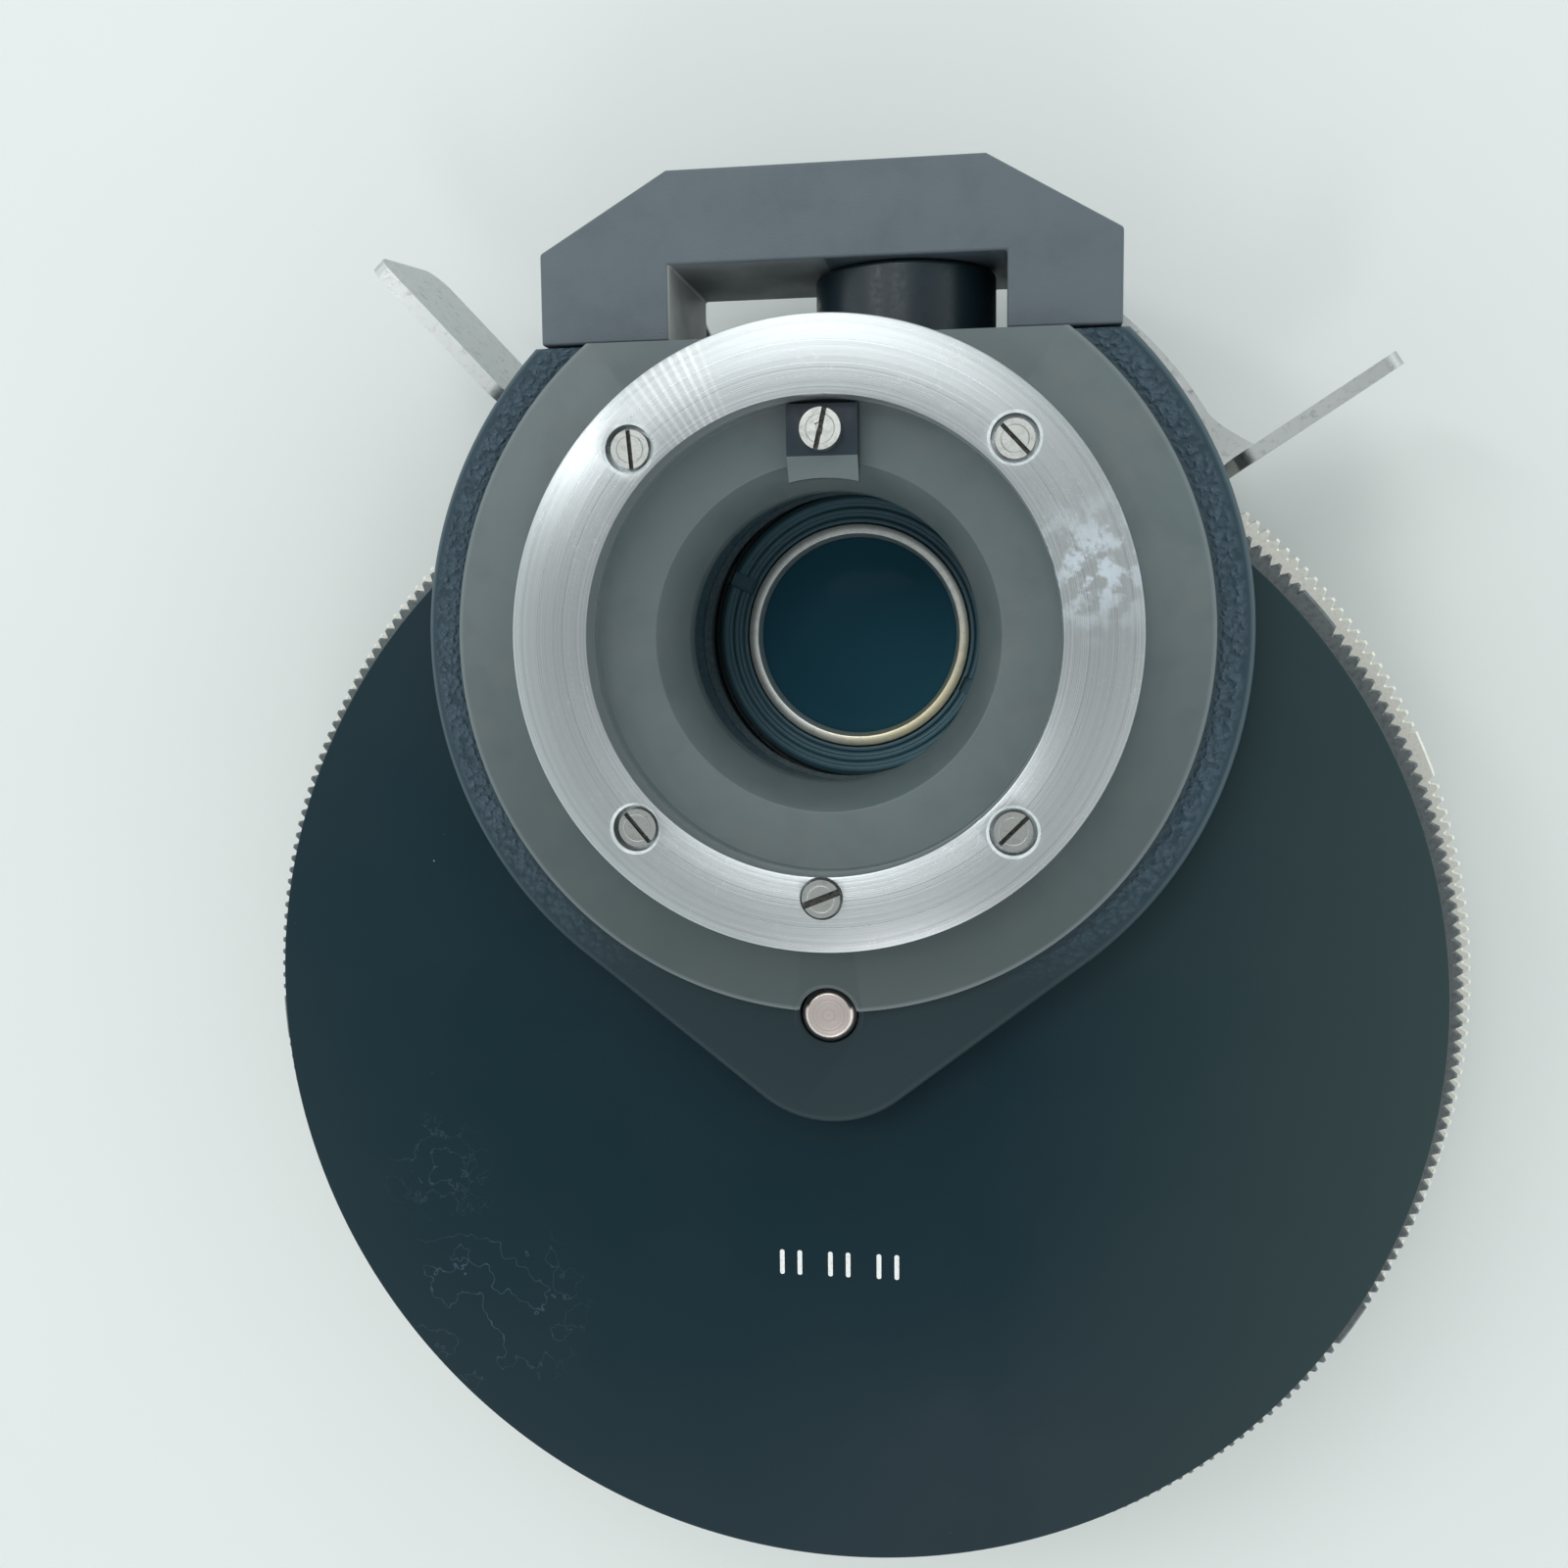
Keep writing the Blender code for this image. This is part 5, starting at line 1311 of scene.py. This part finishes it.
def make_bracket():
    low, high = low_z("bracket"), high_z("bracket")
    half = half_width("bracket")
    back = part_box("bracket")[1][1] / MM - LIGHT.y
    base, shoulder, back_half = HOUSING_FLAT + GAP, 46.8, 19.0
    left, right, window = -18.8, 21.5, 44.8
    plan = Plan().corners((right, base), (half, base), (half, shoulder), (back_half, back),
                          (-back_half, back), (-half, shoulder), (-half, base), (left, base),
                          (left, window), (right, window))
    bracket = plan.slab("rear_bracket", low, high)
    cutters = []
    for side in (-1, 1):
        cutters.append(bracket_rod(f"bracket_well_{side}", side, 3.2, 39.5, 60.0, 64))
        cutters.append(bracket_rod(f"bracket_drill_{side}", side, 1.7, 30.0, 41.0, 32))
    combine(bracket, cutters)
    ease_edges(bracket, 0.35, 3)
    dress(bracket, BRACKET, "frame", "bracket", slot="bracket_grey")
    for side, name in ((-1, "left"), (1, "right")):
        head = bracket_rod(f"socket_screw_{name}", side, 2.75, 39.8, 42.6, 64)
        combine(head, [bracket_rod(f"shank_{name}", side, 1.4, 31.6, 41.0, 32)], "UNION")
        combine(head, [bracket_rod(f"socket_{name}", side, 1.45, 41.2, 60.0, 6)])
        ease_edges(head, 0.18)
        dress(head, SCREW, "frame", f"bracket_screw_{name}", slot="screw_steel")


def make_post():
    low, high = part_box("pillar_post")
    centre = middle("pillar_post")
    post = rod("round_post", half_width("pillar_post"), (centre.x, low[1] / MM, centre.z),
               (centre.x, high[1] / MM, centre.z), 160)
    ease_edges(post, 0.5, 3)
    dress(post, GLOSS, "frame", "pillar_post", slot="black_anodised")


# --- Studio ---

CAMERA_SPOT = Vector((LIGHT.x + 24.31, LIGHT.y + 2.13, TOP + 183.1))
FOCAL_LENGTH = 36.11
HORIZON_GLOW = 1.86
ZENITH_GLOW = 0.42
# The floor is measured in metres.
FLOOR_HALF = 20.0
FLOOR_DROP = 0.0002

def make_camera():
    camera = bpy.data.objects.new("camera", bpy.data.cameras.new("camera"))
    bpy.context.scene.collection.objects.link(camera)
    camera.data.sensor_width = 36.0
    camera.data.lens = FOCAL_LENGTH
    camera.data.clip_start = 0.01
    right = Vector((0.98808, -0.01077, -0.15356))
    up = Vector((-0.0052, 0.9946, -0.1033))
    back = right.cross(up).normalized()
    up = back.cross(right).normalized()
    turn = Matrix((right, up, back)).transposed().to_4x4()
    camera.matrix_world = Matrix.Translation(CAMERA_SPOT * MM) @ turn
    bpy.context.scene.camera = camera


def softbox(name, spot, target, size, power, colour=(1.0, 1.0, 1.0)):
    light = bpy.data.lights.new(name, "AREA")
    light.shape = "RECTANGLE"
    light.size, light.size_y = size
    light.energy = power
    light.color = colour
    obj = bpy.data.objects.new(name, light)
    obj.location = spot
    aim = Vector(target) - Vector(spot)
    obj.rotation_euler = aim.to_track_quat("-Z", "Y").to_euler()
    bpy.context.scene.collection.objects.link(obj)


def make_world():
    """A soft room: pale walls near the horizon, dimmer overhead."""
    world = bpy.data.worlds.new("studio")
    world.use_nodes = True
    tree = world.node_tree
    background = tree.nodes["Background"]
    background.inputs["Color"].default_value = (0.93, 0.98, 0.98, 1.0)
    coordinates = tree.nodes.new("ShaderNodeTexCoord")
    parts = tree.nodes.new("ShaderNodeSeparateXYZ")
    level = tree.nodes.new("ShaderNodeMapRange")
    for socket, value in (("From Min", 0.05), ("From Max", 0.85), ("To Min", HORIZON_GLOW),
                          ("To Max", ZENITH_GLOW)):
        level.inputs[socket].default_value = value
    tree.links.new(coordinates.outputs["Generated"], parts.inputs[0])
    tree.links.new(parts.outputs["Z"], level.inputs["Value"])
    tree.links.new(level.outputs["Result"], background.inputs["Strength"])
    bpy.context.scene.world = world


def make_studio():
    bm = bmesh.new()
    floor_level = cad_box[0][2] - FLOOR_DROP
    bmesh.ops.create_grid(bm, x_segments=2, y_segments=2, size=FLOOR_HALF,
                          matrix=Matrix.Translation((0.0, 0.0, floor_level)))
    floor = as_object("floor", bm)
    white = Finish("floor_white", (0.80, 0.84, 0.825), 0.8, 0.0, {"Specular IOR Level": 0.2})
    white.tint(white.ramp(white.noise(60.0, 3.0), 0.0, 0.3), (0.77, 0.815, 0.80))
    floor.data.materials.append(white.material)
    make_world()
    centre = (0.0, 0.0, 0.03)
    softbox("overhead", (-0.12, 0.50, 0.90), centre, (0.40, 0.70), 1.95)
    softbox("right_fill", (0.60, -0.30, 0.85), centre, (0.45, 0.45), 0.15, (1.0, 0.97, 0.90))
    softbox("front_fill", (0.05, -0.75, 0.80), centre, (0.30, 0.30), 0.9, (1.0, 0.93, 0.95))
    softbox("left_lamp", (-0.55, 0.36, 0.85), centre, (0.10, 0.30), 0.8)
    bpy.context.scene.view_settings.view_transform = "Standard"


make_camera()
make_studio()
make_change_ring()
make_screws()
make_key()
make_collar()
make_housing()
make_cover()
make_index_marks()
make_axle()
make_wheel("dark_turret_wheel", "upper_wheel", "upper_turret", DARK_WHEEL, 40.0, "wheel_dark")
make_wheel("light_turret_wheel", "lower_wheel", "lower_turret", LIGHT_WHEEL, 23.0, "wheel_light")
make_inserts()
make_detents()
make_bottom_plate()
make_foot()
make_barrel()
make_iris()
make_yoke()
make_lens()
make_cell()
make_bracket()
make_post()
